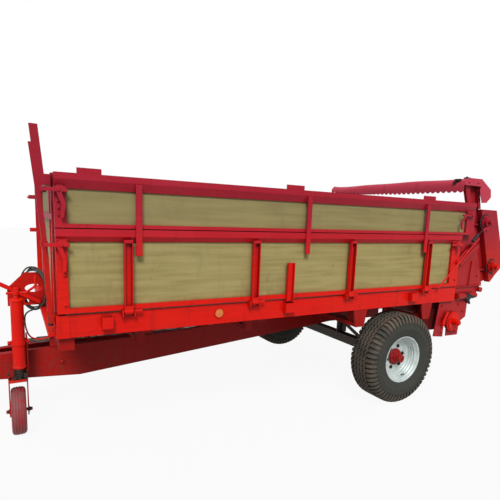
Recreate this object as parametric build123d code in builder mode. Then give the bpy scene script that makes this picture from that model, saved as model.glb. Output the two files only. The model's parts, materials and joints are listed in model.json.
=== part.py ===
from build123d import *
import os
from math import cos, radians, sin, tan

os.makedirs("parts", exist_ok=True)

# Single-axle muck spreader wagon, in millimetres
# X forwards, Y to the left, Z up, ground at Z 0; AXLE_X puts the middle of the length at X 0
AXLE_X = -1362.5
FRONT_X = AXLE_X + 2930
SILL_REAR_X = AXLE_X - 800

# Sheet and play
SHEET = 6
THIN_SHEET = 4
PIN_PLAY = 0.08
SEAT_GAP = 0.3

# Wheels
TYRE_R = 422.5
TYRE_W = 300
TYRE_SHOULDER = 36
TREAD_W = 222
BULGE_R = 315
BEAD_IN = 8
RIM_SEAT_R = 206
RIM_LIP_R = 222
RIM_W = 250
RIM_WALL = 7
WELL_R = 187
DISC_Y = 1022
DISC_T = 8
DISC_HOLES = 8
DISC_HOLE_R = 15
DISC_HOLE_AT = 128
HUB_R = 88
CAP_R = 40
CAP_LENGTH = 42
STUB_R = 32
WHEEL_Y = 1000

# Body heights
FLOOR_TOP = 940
FLOOR_T = 30
CHAIN_Y = 620
SILL_Y = 1025
SILL_BOTTOM = 910
SILL_TOP = 1052
SILL_FLANGE = 60
RAIL_Y = 1055
SIDE_BOTTOM = 1066
MIDDLE_TOP = 1577
TOP_RAIL_TOP = 1900
EXTENSION_TOP = 2160
HOOD_TOP = 2136
HITCH_Z = 480
INPUT_Z = 635
STUB_SHAFT_R = 17.4
STUB_SHAFT_LENGTH = 80
INPUT_R = 24
INPUT_FRONT_X = AXLE_X + 3000
GEARBOX_X = AXLE_X - 1060
GEARBOX = 180
HITCH_X = AXLE_X + 4290

# Chassis side plates, bent in plan once behind the jockey stand
PLATE_T = 8
PLATE_FLANGE = 50
FOLD_X = AXLE_X + 3200
FOLD_Y = 112
TAIL_X = AXLE_X - 530
TAIL_Y = 272
NOSE_X = AXLE_X + 4120
NOSE_Y = 42

# Left chassis plate seen from above: outer line, front to back
plate_side = [
    (AXLE_X + 4120, 430),
    (AXLE_X + 3260, 376),
    (AXLE_X + 2690, 341),
    (AXLE_X + 160, 600),
    (AXLE_X - 530, 600),
    (AXLE_X - 530, 750),
    (AXLE_X + 900, 750),
    (AXLE_X + 1740, 645),
    (AXLE_X + 2840, 597),
    (AXLE_X + 3260, 577),
    (AXLE_X + 4120, 530),
]

with BuildPart() as plate_core:
    with BuildSketch(Plane.XY):
        with BuildLine():
            Polyline(
                (NOSE_X + 10, NOSE_Y - PLATE_T),
                (FOLD_X, FOLD_Y - PLATE_T),
                (TAIL_X - 10, TAIL_Y - PLATE_T),
                (TAIL_X - 10, TAIL_Y - 2 * PLATE_FLANGE),
                (FOLD_X, FOLD_Y - 2 * PLATE_FLANGE),
                (NOSE_X + 10, NOSE_Y - 2 * PLATE_FLANGE),
                close=True,
            )
        make_face()
    extrude(amount=900)
    with BuildSketch(Plane.XZ):
        with BuildLine():
            Polyline(*plate_side, close=True)
        make_face()
        offset(amount=-PLATE_T)
        with Locations((NOSE_X, 480)):
            Rectangle(30, 84)
        with Locations((TAIL_X, 675)):
            Rectangle(30, 134)
    extrude(amount=-600, mode=Mode.INTERSECT)

with BuildPart() as chassis_frame:
    with BuildSketch(Plane.XY):
        with BuildLine():
            Polyline(
                (NOSE_X, NOSE_Y),
                (FOLD_X, FOLD_Y),
                (TAIL_X, TAIL_Y),
                (TAIL_X, TAIL_Y - PLATE_FLANGE),
                (FOLD_X, FOLD_Y - PLATE_FLANGE),
                (NOSE_X, NOSE_Y - 34),
                close=True,
            )
        make_face()
    extrude(amount=900)
    with BuildSketch(Plane.XZ):
        with BuildLine():
            Polyline(*plate_side, close=True)
        make_face()
    extrude(amount=-600, mode=Mode.INTERSECT)
    add(plate_core.part, mode=Mode.SUBTRACT)
    mirror(about=Plane.XZ)
    for x, half, z in [
        (AXLE_X + 2600, 132, 460),
        (AXLE_X + 1500, 178, 530),
        (AXLE_X + 500, 220, 590),
        (AXLE_X - 480, 262, 712),
    ]:
        with Locations((x, 0, z)):
            Box(50, 2 * half, 50)
    for x, z in [(AXLE_X + 2600, 460), (AXLE_X + 500, 590)]:
        with Locations((x, 0, (z + INPUT_Z + 40) / 2)):
            Box(20, 70, INPUT_Z + 40 - z)
        with Locations((x, 0, INPUT_Z)):
            Cylinder(INPUT_R + PIN_PLAY, 60, rotation=(0, 90, 0), mode=Mode.SUBTRACT)
chassis_frame.part.label = "chassis_frame"
export_step(chassis_frame.part, "parts/chassis_frame.step")

# Towing eye on a tapered tongue between the plate noses
EYE_R = 25.5
EYE_OUTER_R = 60
EYE_T = 30
with BuildPart() as hitch_eye:
    with BuildSketch(Plane.XY.offset(HITCH_Z - EYE_T / 2)):
        with BuildLine():
            Polyline(
                (HITCH_X, EYE_OUTER_R - 12),
                (HITCH_X - 60, 36),
                (NOSE_X - 200, 31),
                (NOSE_X - 200, -31),
                (HITCH_X - 60, -36),
                (HITCH_X, 12 - EYE_OUTER_R),
                close=True,
            )
        make_face()
        with Locations((HITCH_X, 0)):
            Circle(EYE_OUTER_R)
            Circle(EYE_R, mode=Mode.SUBTRACT)
    extrude(amount=EYE_T)
    with Locations((NOSE_X - 75, 0, HITCH_Z)):
        Box(150, 2 * (NOSE_Y - PLATE_T) - 0.6, 82)
hitch_eye.part.label = "hitch_eye"
export_step(hitch_eye.part, "parts/hitch_eye.step")

# Axle: square tube under two seat plates, braced to the chassis plates
AXLE_Z = TYRE_R
AXLE_BEAM = 90
SEAT_Y = 252.5
with BuildPart() as axle_beam:
    with Locations((AXLE_X, 0, AXLE_Z)):
        Box(AXLE_BEAM, 2 * 815, AXLE_BEAM)
        Cylinder(STUB_R, 2 * (WHEEL_Y + 60), rotation=(90, 0, 0))
    for side in (1, -1):
        with Locations((AXLE_X, side * (SEAT_Y + 6), 556)):
            Box(130, 12, 178)
        with BuildSketch(Plane.YZ.offset(AXLE_X - 6)):
            with BuildLine():
                Polyline(
                    (side * (SEAT_Y + 12), AXLE_Z + 44),
                    (side * (SEAT_Y + 12), 596),
                    (side * (SEAT_Y + 60), 596),
                    (side * 640, AXLE_Z + 44),
                    close=True,
                )
            make_face()
            with BuildLine():
                Polyline(
                    (side * (SEAT_Y + 32), AXLE_Z + 60),
                    (side * (SEAT_Y + 32), 570),
                    (side * 500, AXLE_Z + 60),
                    close=True,
                )
            make_face(mode=Mode.SUBTRACT)
        extrude(amount=12)
axle_beam.part.label = "axle_beam"
export_step(axle_beam.part, "parts/axle_beam.step")

# Wheels: tyre, dished rim and hub, left then right
with BuildPart() as tyre_left:
    with BuildSketch(Plane.YZ.offset(AXLE_X)):
        with BuildLine():
            Polyline(
                (WHEEL_Y - RIM_W / 2 + BEAD_IN, AXLE_Z + RIM_SEAT_R + SEAT_GAP),
                (WHEEL_Y - TYRE_W / 2, AXLE_Z + BULGE_R),
                (WHEEL_Y - TYRE_W / 2 + 6, AXLE_Z + TYRE_R - TYRE_SHOULDER),
                (WHEEL_Y - TREAD_W / 2, AXLE_Z + TYRE_R),
                (WHEEL_Y + TREAD_W / 2, AXLE_Z + TYRE_R),
                (WHEEL_Y + TYRE_W / 2 - 6, AXLE_Z + TYRE_R - TYRE_SHOULDER),
                (WHEEL_Y + TYRE_W / 2, AXLE_Z + BULGE_R),
                (WHEEL_Y + RIM_W / 2 - BEAD_IN, AXLE_Z + RIM_SEAT_R + SEAT_GAP),
                close=True,
            )
        make_face()
    revolve(axis=Axis((AXLE_X, 0, AXLE_Z), (0, 1, 0)))
tyre_left.part.label = "tyre_left"
export_step(tyre_left.part, "parts/tyre_left.step")

RIM_IN = WHEEL_Y - RIM_W / 2
RIM_OUT = WHEEL_Y + RIM_W / 2
SEAT_W = 40
STEP = 12
with BuildPart() as rim_left:
    with BuildSketch(Plane.YZ.offset(AXLE_X)):
        with BuildLine():
            Polyline(
                (RIM_IN - 4, AXLE_Z + RIM_LIP_R),
                (RIM_IN - 4, AXLE_Z + RIM_SEAT_R - RIM_WALL),
                (RIM_IN + SEAT_W, AXLE_Z + RIM_SEAT_R - RIM_WALL),
                (RIM_IN + SEAT_W + STEP, AXLE_Z + WELL_R - RIM_WALL),
                (DISC_Y - DISC_T, AXLE_Z + WELL_R - RIM_WALL),
                (DISC_Y - DISC_T, AXLE_Z + HUB_R - 30),
                (DISC_Y, AXLE_Z + HUB_R - 30),
                (DISC_Y, AXLE_Z + WELL_R - RIM_WALL),
                (RIM_OUT - SEAT_W - STEP, AXLE_Z + WELL_R - RIM_WALL),
                (RIM_OUT - SEAT_W, AXLE_Z + RIM_SEAT_R - RIM_WALL),
                (RIM_OUT, AXLE_Z + RIM_SEAT_R - RIM_WALL),
                (RIM_OUT + 4, AXLE_Z + RIM_LIP_R),
                (RIM_OUT - 3, AXLE_Z + RIM_LIP_R),
                (RIM_OUT - 3, AXLE_Z + RIM_SEAT_R),
                (RIM_OUT - SEAT_W, AXLE_Z + RIM_SEAT_R),
                (RIM_OUT - SEAT_W - STEP, AXLE_Z + WELL_R),
                (RIM_IN + SEAT_W + STEP, AXLE_Z + WELL_R),
                (RIM_IN + SEAT_W, AXLE_Z + RIM_SEAT_R),
                (RIM_IN + 3, AXLE_Z + RIM_SEAT_R),
                (RIM_IN + 3, AXLE_Z + RIM_LIP_R),
                close=True,
            )
        make_face()
    revolve(axis=Axis((AXLE_X, 0, AXLE_Z), (0, 1, 0)))
    with BuildSketch(Plane.XZ.offset(-DISC_Y)):
        with Locations((AXLE_X, AXLE_Z)):
            with PolarLocations(DISC_HOLE_AT, DISC_HOLES):
                Circle(DISC_HOLE_R)
    extrude(amount=DISC_T, mode=Mode.SUBTRACT)
rim_left.part.label = "rim_left"
export_step(rim_left.part, "parts/rim_left.step")

with BuildPart() as hub_left:
    with BuildSketch(Plane.YZ.offset(AXLE_X)):
        with BuildLine():
            Polyline(
                (WHEEL_Y - 90, AXLE_Z + STUB_R + PIN_PLAY),
                (WHEEL_Y - 90, AXLE_Z + 62),
                (WHEEL_Y - 10, AXLE_Z + 62),
                (WHEEL_Y - 4, AXLE_Z + HUB_R),
                (DISC_Y - DISC_T - SEAT_GAP, AXLE_Z + HUB_R),
                (DISC_Y - DISC_T - SEAT_GAP, AXLE_Z + HUB_R - 31),
                (WHEEL_Y + 62, AXLE_Z + 52),
                (WHEEL_Y + 66, AXLE_Z + CAP_R),
                (WHEEL_Y + 66 + CAP_LENGTH, AXLE_Z + CAP_R - 6),
                (WHEEL_Y + 66 + CAP_LENGTH, AXLE_Z),
                (WHEEL_Y + 66, AXLE_Z),
                (WHEEL_Y + 66, AXLE_Z + STUB_R + PIN_PLAY),
                close=True,
            )
        make_face()
    revolve(axis=Axis((AXLE_X, 0, AXLE_Z), (0, 1, 0)))
hub_left.part.label = "hub_left"
export_step(hub_left.part, "parts/hub_left.step")

with BuildPart() as tyre_right:
    mirror(tyre_left.part, about=Plane.XZ)
tyre_right.part.label = "tyre_right"
export_step(tyre_right.part, "parts/tyre_right.step")

with BuildPart() as rim_right:
    mirror(rim_left.part, about=Plane.XZ)
rim_right.part.label = "rim_right"
export_step(rim_right.part, "parts/rim_right.step")

with BuildPart() as hub_right:
    mirror(hub_left.part, about=Plane.XZ)
hub_right.part.label = "hub_right"
export_step(hub_right.part, "parts/hub_right.step")

# Cross members: low beam, joist under the floor and tapered end plates on the sill
CROSS_BOTTOM = 753
CROSS_BEAM = 36
JOIST_BOTTOM = 875
outrigger_stations = [AXLE_X + 468, AXLE_X - 395]
joist_stations = [AXLE_X + 2350, AXLE_X + 1450]
with BuildPart() as cross_members:
    for x in joist_stations:
        with Locations((x, 0, CROSS_BOTTOM + CROSS_BEAM / 2)):
            Box(60, 2 * 760, CROSS_BEAM)
        for side in (1, -1):
            with Locations((x, side * 730, (CROSS_BOTTOM + FLOOR_TOP - FLOOR_T) / 2)):
                Box(60, 60, FLOOR_TOP - FLOOR_T - CROSS_BOTTOM)
        with Locations((x, 0, (JOIST_BOTTOM + FLOOR_TOP - FLOOR_T) / 2)):
            Box(60, 2 * 964, FLOOR_TOP - FLOOR_T - JOIST_BOTTOM)
    for x in outrigger_stations:
        with Locations((x, 0, CROSS_BOTTOM + CROSS_BEAM / 2)):
            Box(90, 2 * 1005, CROSS_BEAM)
        with Locations((x, 0, (JOIST_BOTTOM + FLOOR_TOP - FLOOR_T) / 2)):
            Box(60, 2 * 950, FLOOR_TOP - FLOOR_T - JOIST_BOTTOM)
        for side in (1, -1):
            with BuildSketch(Plane.XZ.offset(-side * 1000)):
                with BuildLine():
                    Polyline(
                        (x - 48, CROSS_BOTTOM),
                        (x + 48, CROSS_BOTTOM),
                        (x + 78, SILL_BOTTOM),
                        (x - 78, SILL_BOTTOM),
                        close=True,
                    )
                make_face()
            extrude(amount=-side * 20)
            with Locations((x, side * 945, 830)):
                Box(60, 110, 100)
    with Locations((AXLE_X + 2870, 0, 865)):
        Box(90, 2 * 990, 90)
    for side in (1, -1):
        with Locations((AXLE_X + 2870, side * 100, 709)):
            Box(80, 40, 222)
cross_members.part.label = "cross_members"
export_step(cross_members.part, "parts/cross_members.step")

# Sills: channels open inwards, with stake pockets and hinge ears
pockets = [(AXLE_X + 2636, 67), (AXLE_X + 1255, 90), (AXLE_X - 158, 90)]
hinge_stations = [AXLE_X + 2505, AXLE_X + 1578, AXLE_X + 648, AXLE_X - 295]
HINGE_Y = 1062
HINGE_Z = 1058
HINGE_PIN_R = 9
STAKE_W = 54
EAR_T = 8
with BuildPart() as sill_left:
    with BuildSketch(Plane.YZ.offset(SILL_REAR_X)):
        with Locations((SILL_Y - SILL_FLANGE / 2, (SILL_BOTTOM + SILL_TOP) / 2)):
            Rectangle(SILL_FLANGE, SILL_TOP - SILL_BOTTOM)
        with Locations((SILL_Y - SILL_FLANGE / 2 - SHEET, (SILL_BOTTOM + SILL_TOP) / 2)):
            Rectangle(SILL_FLANGE, SILL_TOP - SILL_BOTTOM - 2 * SHEET, mode=Mode.SUBTRACT)
    extrude(amount=FRONT_X - SILL_REAR_X)
    with Locations((FRONT_X - 39, SILL_Y + 2, (SILL_BOTTOM + SILL_TOP) / 2)):
        Box(78, 4, SILL_TOP - SILL_BOTTOM)
    for x, w in pockets:
        with Locations((x, SILL_Y + 24, 993)):
            Box(w, 48, 76)
        with Locations((x, SILL_Y + 25, 998)):
            Box(w - 12, 36, 80, mode=Mode.SUBTRACT)
    for x in hinge_stations:
        for end in (1, -1):
            with Locations((x + end * (STAKE_W / 2 + EAR_T / 2 + 6), SILL_Y + 26, 1044)):
                Box(EAR_T, 52, 40)
        with Locations((x - 22, HINGE_Y, HINGE_Z)):
            Cylinder(HINGE_PIN_R, STAKE_W + 76, rotation=(0, 90, 0))
sill_left.part.label = "sill_left"
export_step(sill_left.part, "parts/sill_left.step")

with BuildPart() as sill_right:
    mirror(sill_left.part, about=Plane.XZ)
sill_right.part.label = "sill_right"
export_step(sill_right.part, "parts/sill_right.step")

with BuildPart() as floor:
    with Locations((AXLE_X + 1082, 0, FLOOR_TOP - FLOOR_T / 2)):
        Box(3564, 2 * 960, FLOOR_T - 2 * SEAT_GAP)
    for side in (1, -1):
        with Locations((AXLE_X + 2800, side * CHAIN_Y, FLOOR_TOP - FLOOR_T / 2)):
            Box(160, 60, FLOOR_T, mode=Mode.SUBTRACT)
floor.part.label = "floor"
export_step(floor.part, "parts/floor.step")

# Folding side: lower frame with stakes, upper frame with pegs, and their boards
SIDE_FRONT = AXLE_X + 2920
SIDE_REAR = AXLE_X - 780
BOARD_Y = 1022
BOARD_T = 22
with BuildPart() as side_frame_left:
    with BuildSketch(Plane.YZ.offset(SIDE_REAR)):
        with BuildLine():
            Polyline(
                (BOARD_Y - BOARD_T - SHEET, MIDDLE_TOP),
                (RAIL_Y, MIDDLE_TOP),
                (RAIL_Y, MIDDLE_TOP - 44),
                (BOARD_Y + 10, MIDDLE_TOP - 77),
                (BOARD_Y - BOARD_T - SHEET, MIDDLE_TOP - 77),
                close=True,
            )
        make_face()
        with Locations(((BOARD_Y - BOARD_T - SHEET + RAIL_Y - 10) / 2, SIDE_BOTTOM + 16)):
            Rectangle(RAIL_Y - 10 - BOARD_Y + BOARD_T + SHEET, 32)
    extrude(amount=SIDE_FRONT - SIDE_REAR)
    for x, w in [(SIDE_FRONT - 32, 64), (SIDE_REAR + 62, 124)]:
        with Locations((x, (BOARD_Y - BOARD_T - SHEET + RAIL_Y - 10) / 2, 1310)):
            Box(w, RAIL_Y - 10 - BOARD_Y + BOARD_T + SHEET, 440)
    with Locations(((SIDE_FRONT + SIDE_REAR) / 2, BOARD_Y - BOARD_T / 2, 1300)):
        Box(SIDE_FRONT - SIDE_REAR - 130, BOARD_T + 2 * SEAT_GAP, 442, mode=Mode.SUBTRACT)
    for x in hinge_stations:
        with Locations((x, RAIL_Y + 6, 1280)):
            Box(STAKE_W, 34, 470)
        with Locations((x, RAIL_Y + 12, 1295)):
            Box(STAKE_W - 12, 34, 400, mode=Mode.SUBTRACT)
        with Locations((x, HINGE_Y, HINGE_Z)):
            Cylinder(20, STAKE_W, rotation=(0, 90, 0))
        with Locations((x, HINGE_Y, HINGE_Z)):
            Cylinder(HINGE_PIN_R + PIN_PLAY, STAKE_W + 4, rotation=(0, 90, 0), mode=Mode.SUBTRACT)
    with BuildLine() as rod:
        Line((AXLE_X - 466, RAIL_Y + 16, HINGE_Z + 2), (AXLE_X - 1025, RAIL_Y + 16, 1553))
    with BuildSketch(Plane(origin=rod.line @ 0, z_dir=rod.line % 0)):
        Circle(8)
    sweep(path=rod.wire())
    with Locations((AXLE_X - 740, RAIL_Y + 3, 1302)):
        Box(26, 26, 26)
side_frame_left.part.label = "side_frame_left"
export_step(side_frame_left.part, "parts/side_frame_left.step")

UPPER_REAR = AXLE_X - 955
UPPER_BOTTOM = MIDDLE_TOP + 6
peg_stations = [AXLE_X + 2437, AXLE_X + 1118, AXLE_X - 238]
with BuildPart() as side_extension_left:
    with BuildSketch(Plane.YZ.offset(UPPER_REAR)):
        with BuildLine():
            Polyline(
                (BOARD_Y - BOARD_T - SHEET, TOP_RAIL_TOP),
                (RAIL_Y, TOP_RAIL_TOP),
                (RAIL_Y, TOP_RAIL_TOP - 38),
                (BOARD_Y + 10, TOP_RAIL_TOP - 90),
                (BOARD_Y - BOARD_T - SHEET, TOP_RAIL_TOP - 90),
                close=True,
            )
        make_face()
        with Locations(((BOARD_Y - BOARD_T - SHEET + RAIL_Y - 10) / 2, UPPER_BOTTOM + 12)):
            Rectangle(RAIL_Y - 10 - BOARD_Y + BOARD_T + SHEET, 24)
    extrude(amount=SIDE_FRONT - UPPER_REAR)
    for x, w in [(SIDE_FRONT - 32, 64), (UPPER_REAR + 60, 120)]:
        with Locations((x, (BOARD_Y - BOARD_T - SHEET + RAIL_Y - 10) / 2, 1710)):
            Box(w, RAIL_Y - 10 - BOARD_Y + BOARD_T + SHEET, 220)
    with Locations(((SIDE_FRONT + UPPER_REAR) / 2, BOARD_Y - BOARD_T / 2, 1708)):
        Box(SIDE_FRONT - UPPER_REAR - 130, BOARD_T + 2 * SEAT_GAP, 236, mode=Mode.SUBTRACT)
    for x in peg_stations:
        with Locations((x, RAIL_Y + SEAT_GAP + 6, 1613)):
            Box(40, 12, 400)
        with Locations((x, RAIL_Y - 4, 1835)):
            Box(40, 30, 44)
        with Locations((x, RAIL_Y - 4, UPPER_BOTTOM + 12)):
            Box(40, 20, 24)
    for x, w in [(AXLE_X + 2725, 140), (AXLE_X + 1241, 160), (AXLE_X - 270, 160)]:
        with Locations((x, RAIL_Y - 20, TOP_RAIL_TOP + 14)):
            Box(w, 8, 40)
side_extension_left.part.label = "side_extension_left"
export_step(side_extension_left.part, "parts/side_extension_left.step")

with BuildPart() as side_boards_left:
    with Locations(((SIDE_FRONT + SIDE_REAR) / 2, BOARD_Y - BOARD_T / 2, 1300)):
        Box(SIDE_FRONT - SIDE_REAR - 132, BOARD_T, 440)
    with Locations(((SIDE_FRONT + UPPER_REAR) / 2, BOARD_Y - BOARD_T / 2, 1708)):
        Box(SIDE_FRONT - UPPER_REAR - 132, BOARD_T, 234)
side_boards_left.part.label = "side_boards_left"
export_step(side_boards_left.part, "parts/side_boards_left.step")

with BuildPart() as side_frame_right:
    mirror(side_frame_left.part, about=Plane.XZ)
side_frame_right.part.label = "side_frame_right"
export_step(side_frame_right.part, "parts/side_frame_right.step")

with BuildPart() as side_extension_right:
    mirror(side_extension_left.part, about=Plane.XZ)
side_extension_right.part.label = "side_extension_right"
export_step(side_extension_right.part, "parts/side_extension_right.step")

with BuildPart() as side_boards_right:
    mirror(side_boards_left.part, about=Plane.XZ)
side_boards_right.part.label = "side_boards_right"
export_step(side_boards_right.part, "parts/side_boards_right.step")

# Front wall: boards behind thin rails and posts, and the tall post that leans forwards on the left
WALL_X = AXLE_X + 2890
FRONT_SILL = 40
FRONT_SILL_TOP = 935
CORNER_Y = 932.5
CORNER_W = 45
STRIKER_X = FRONT_X + 40
STRIKER_R = 11
LUG_Y = CORNER_Y + CORNER_W / 2
LUG_T = 30
LOWER_LATCH_Z = 1485
UPPER_LATCH_Z = 1800
WALL_DEPTH = FRONT_X - WALL_X - SEAT_GAP
with BuildPart() as front_frame:
    for side in (1, -1):
        with Locations((FRONT_X - WALL_DEPTH / 2, side * CORNER_Y, (SILL_BOTTOM + TOP_RAIL_TOP) / 2)):
            Box(WALL_DEPTH, CORNER_W, TOP_RAIL_TOP - SILL_BOTTOM)
        with Locations((WALL_X + SEAT_GAP + 10, side * 480, (SILL_BOTTOM + TOP_RAIL_TOP) / 2)):
            Box(20, 40, TOP_RAIL_TOP - SILL_BOTTOM)
    for z in (1640, TOP_RAIL_TOP - 20):
        with Locations((WALL_X + SEAT_GAP + 10, 0, z)):
            Box(20, 2 * CORNER_Y, 40)
    with Locations(((WALL_X + SEAT_GAP + FRONT_X + FRONT_SILL) / 2, 0, (SILL_BOTTOM + FRONT_SILL_TOP) / 2)):
        Box(WALL_DEPTH + FRONT_SILL, 2 * (CORNER_Y + CORNER_W / 2), FRONT_SILL_TOP - SILL_BOTTOM)
    for z in (LOWER_LATCH_Z, UPPER_LATCH_Z):
        with Locations(((FRONT_X - 10 + STRIKER_X + 14) / 2, -LUG_Y, z)):
            Box(STRIKER_X + 24 - FRONT_X, 2 * LUG_T, 36)
        with Locations((STRIKER_X, -LUG_Y - LUG_T - 38, z)):
            Cylinder(STRIKER_R, 76, rotation=(90, 0, 0))
front_frame.part.label = "front_frame"
export_step(front_frame.part, "parts/front_frame.step")

with BuildPart() as front_boards:
    with Locations((WALL_X - BOARD_T / 2, 0, (SILL_BOTTOM + SEAT_GAP + 1879) / 2)):
        Box(BOARD_T, 2 * 963, 1879 - SILL_BOTTOM - SEAT_GAP)
front_boards.part.label = "front_boards"
export_step(front_boards.part, "parts/front_boards.step")

with BuildPart() as front_post_left:
    with BuildSketch(Plane.XZ.offset(-LUG_Y - SEAT_GAP)):
        with BuildLine():
            Polyline(
                (FRONT_X + SEAT_GAP, 1000),
                (AXLE_X + 2964, 1000),
                (AXLE_X + 2969, 1063),
                (AXLE_X + 2991, 1520),
                (AXLE_X + 3015, 1820),
                (AXLE_X + 3040, 2060),
                (AXLE_X + 3014, 2060),
                (AXLE_X + 2966, 1590),
                (AXLE_X + 2955, 1410),
                (AXLE_X + 2944, 1063),
                (FRONT_X + SEAT_GAP, 1058),
                close=True,
            )
        make_face()
        with BuildLine():
            Polyline(
                (AXLE_X + 2963, EXTENSION_TOP - 288),
                (AXLE_X + 2989, EXTENSION_TOP),
                (AXLE_X + 3034, EXTENSION_TOP),
                (AXLE_X + 3000, EXTENSION_TOP - 360),
                (AXLE_X + 2985, EXTENSION_TOP - 360),
                close=True,
            )
        make_face()
    extrude(amount=-LUG_T)
    with Locations((FRONT_X + SEAT_GAP + 30, LUG_Y + SEAT_GAP + LUG_T / 2, 1857)):
        Box(60, LUG_T, 62)
    for z in (LOWER_LATCH_Z, UPPER_LATCH_Z):
        with Locations((STRIKER_X + 6, LUG_Y + SEAT_GAP + LUG_T / 2, z)):
            Box(40, LUG_T, 30)
        with Locations((STRIKER_X, LUG_Y + LUG_T + 38, z)):
            Cylinder(STRIKER_R, 76, rotation=(90, 0, 0))
front_post_left.part.label = "front_post_left"
export_step(front_post_left.part, "parts/front_post_left.step")

# Rear posts: leaning flanges before a recessed wall, corner plate, lip and the bearing plate below
REAR_Y = 986
RECESS = 30
WALL_T = 6
POST_TOP_Z = HOOD_TOP - THIN_SHEET - SEAT_GAP
BEARING_PLATE_T = 8
LIP_Z = 1050
UPPER_BEATER = (AXLE_X - 1190, 1720)
LOWER_BEATER = (AXLE_X - 1385, 1250)
BEATER_END_R = 25
DRIVE_X = AXLE_X - 820
DRIVE_Z = 690
DRIVE_SHAFT_R = 24
BRACE_R = 30
BOSS_R = 26

# Flange outlines seen from the side, as (distance from the axle, height)
front_flange = [
    (-828, POST_TOP_Z),
    (-817, POST_TOP_Z - 20),
    (-1240, LIP_Z),
    (-1286, LIP_Z),
    (-880, POST_TOP_Z),
]
rear_flange = [
    (-1010, POST_TOP_Z),
    (-1090, POST_TOP_Z - 282),
    (-1125, POST_TOP_Z - 282),
    (-1048, POST_TOP_Z),
]
with BuildPart() as rear_post_left:
    with BuildSketch(Plane.XZ.offset(-REAR_Y + SHEET)):
        with BuildLine():
            Polyline(
                (AXLE_X - 802, LIP_Z),
                (AXLE_X - 802, SILL_TOP + SEAT_GAP),
                (AXLE_X - 790, SILL_TOP + SEAT_GAP),
                (AXLE_X - 790, POST_TOP_Z - 552),
                (AXLE_X - 770, POST_TOP_Z - 232),
                (AXLE_X - 908, POST_TOP_Z - 232),
                (AXLE_X - 1240, LIP_Z),
                close=True,
            )
        make_face()
    extrude(amount=-SHEET)
    for outline in (front_flange, rear_flange):
        with BuildSketch(Plane.XZ.offset(-REAR_Y)):
            with BuildLine():
                Polyline(*[(AXLE_X + x, z) for x, z in outline], close=True)
            make_face()
        extrude(amount=RECESS)
    with BuildSketch(Plane.XZ.offset(-REAR_Y + RECESS)):
        with BuildLine():
            Polyline(
                (AXLE_X - 828, POST_TOP_Z),
                (AXLE_X - 1045, POST_TOP_Z),
                (AXLE_X - 1120, POST_TOP_Z - 282),
                (AXLE_X - 1330, POST_TOP_Z - 312),
                (AXLE_X - 1520, 1400),
                (AXLE_X - 1520, 1220),
                (AXLE_X - 1400, 1100),
                (AXLE_X - 1230, LIP_Z),
                close=True,
            )
        make_face()
        with Locations(UPPER_BEATER, LOWER_BEATER):
            Circle(BEATER_END_R + 8, mode=Mode.SUBTRACT)
    extrude(amount=WALL_T)
    with Locations((AXLE_X - 1025, REAR_Y + 2, LIP_Z - 4)):
        Box(446, 44, 8)
    with BuildSketch(Plane.XZ.offset(-REAR_Y + 2)):
        with BuildLine():
            Polyline(
                (AXLE_X - 1063, 1309),
                (AXLE_X - 1047, LIP_Z),
                (AXLE_X - 1100, LIP_Z),
                (AXLE_X - 1116, 1309),
                close=True,
            )
        make_face()
    extrude(amount=-14)
    with BuildSketch(Plane.XZ.offset(-REAR_Y)):
        with BuildLine():
            Polyline(
                (AXLE_X - 620, SILL_BOTTOM - SEAT_GAP),
                (AXLE_X - 571, 549),
                (AXLE_X - 715, 531),
                (AXLE_X - 718, 640),
                (AXLE_X - 760, 640),
                (AXLE_X - 766, 535),
                (AXLE_X - 950, 530),
                (AXLE_X - 964, 672),
                (AXLE_X - 1058, 718),
                (AXLE_X - 1062, 860),
                (AXLE_X - 1230, 1000),
                (AXLE_X - 1240, LIP_Z),
                (AXLE_X - 802, LIP_Z),
                (AXLE_X - 802, SILL_BOTTOM - SEAT_GAP),
                close=True,
            )
        make_face()
        with Locations((DRIVE_X, DRIVE_Z)):
            Circle(DRIVE_SHAFT_R + PIN_PLAY, mode=Mode.SUBTRACT)
    extrude(amount=-BEARING_PLATE_T)
    with Locations((AXLE_X - 990, REAR_Y + BEARING_PLATE_T + BRACE_R - 4, 952)):
        Cylinder(BRACE_R, 300, rotation=(0, 90, 0))
    with Locations((AXLE_X - 1224, REAR_Y + BEARING_PLATE_T + 14, 1004)):
        Cylinder(BOSS_R, 36, rotation=(90, 0, 0))
    for x, z, length in [(-1087, 1690, 130), (-1264, 1212, 110)]:
        with Locations((AXLE_X + x, REAR_Y - RECESS / 2, z)):
            Cylinder(11, length, rotation=(0, 90, 0))
    with BuildSketch(Plane.XZ.offset(-REAR_Y - 46)):
        with BuildLine():
            Polyline(
                (AXLE_X - 800, 1292),
                (AXLE_X - 822, 1274),
                (AXLE_X - 1086, 1455),
                (AXLE_X - 1076, 1486),
                (AXLE_X - 1010, 1462),
                close=True,
            )
        make_face()
    extrude(amount=-10)
    with Locations((AXLE_X - 1040, REAR_Y + 23, 1446)):
        Cylinder(12, 60, rotation=(90, 0, 0))
rear_post_left.part.label = "rear_post_left"
export_step(rear_post_left.part, "parts/rear_post_left.step")

with BuildPart() as rear_post_right:
    mirror(rear_post_left.part, about=Plane.XZ)
rear_post_right.part.label = "rear_post_right"
export_step(rear_post_right.part, "parts/rear_post_right.step")

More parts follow.
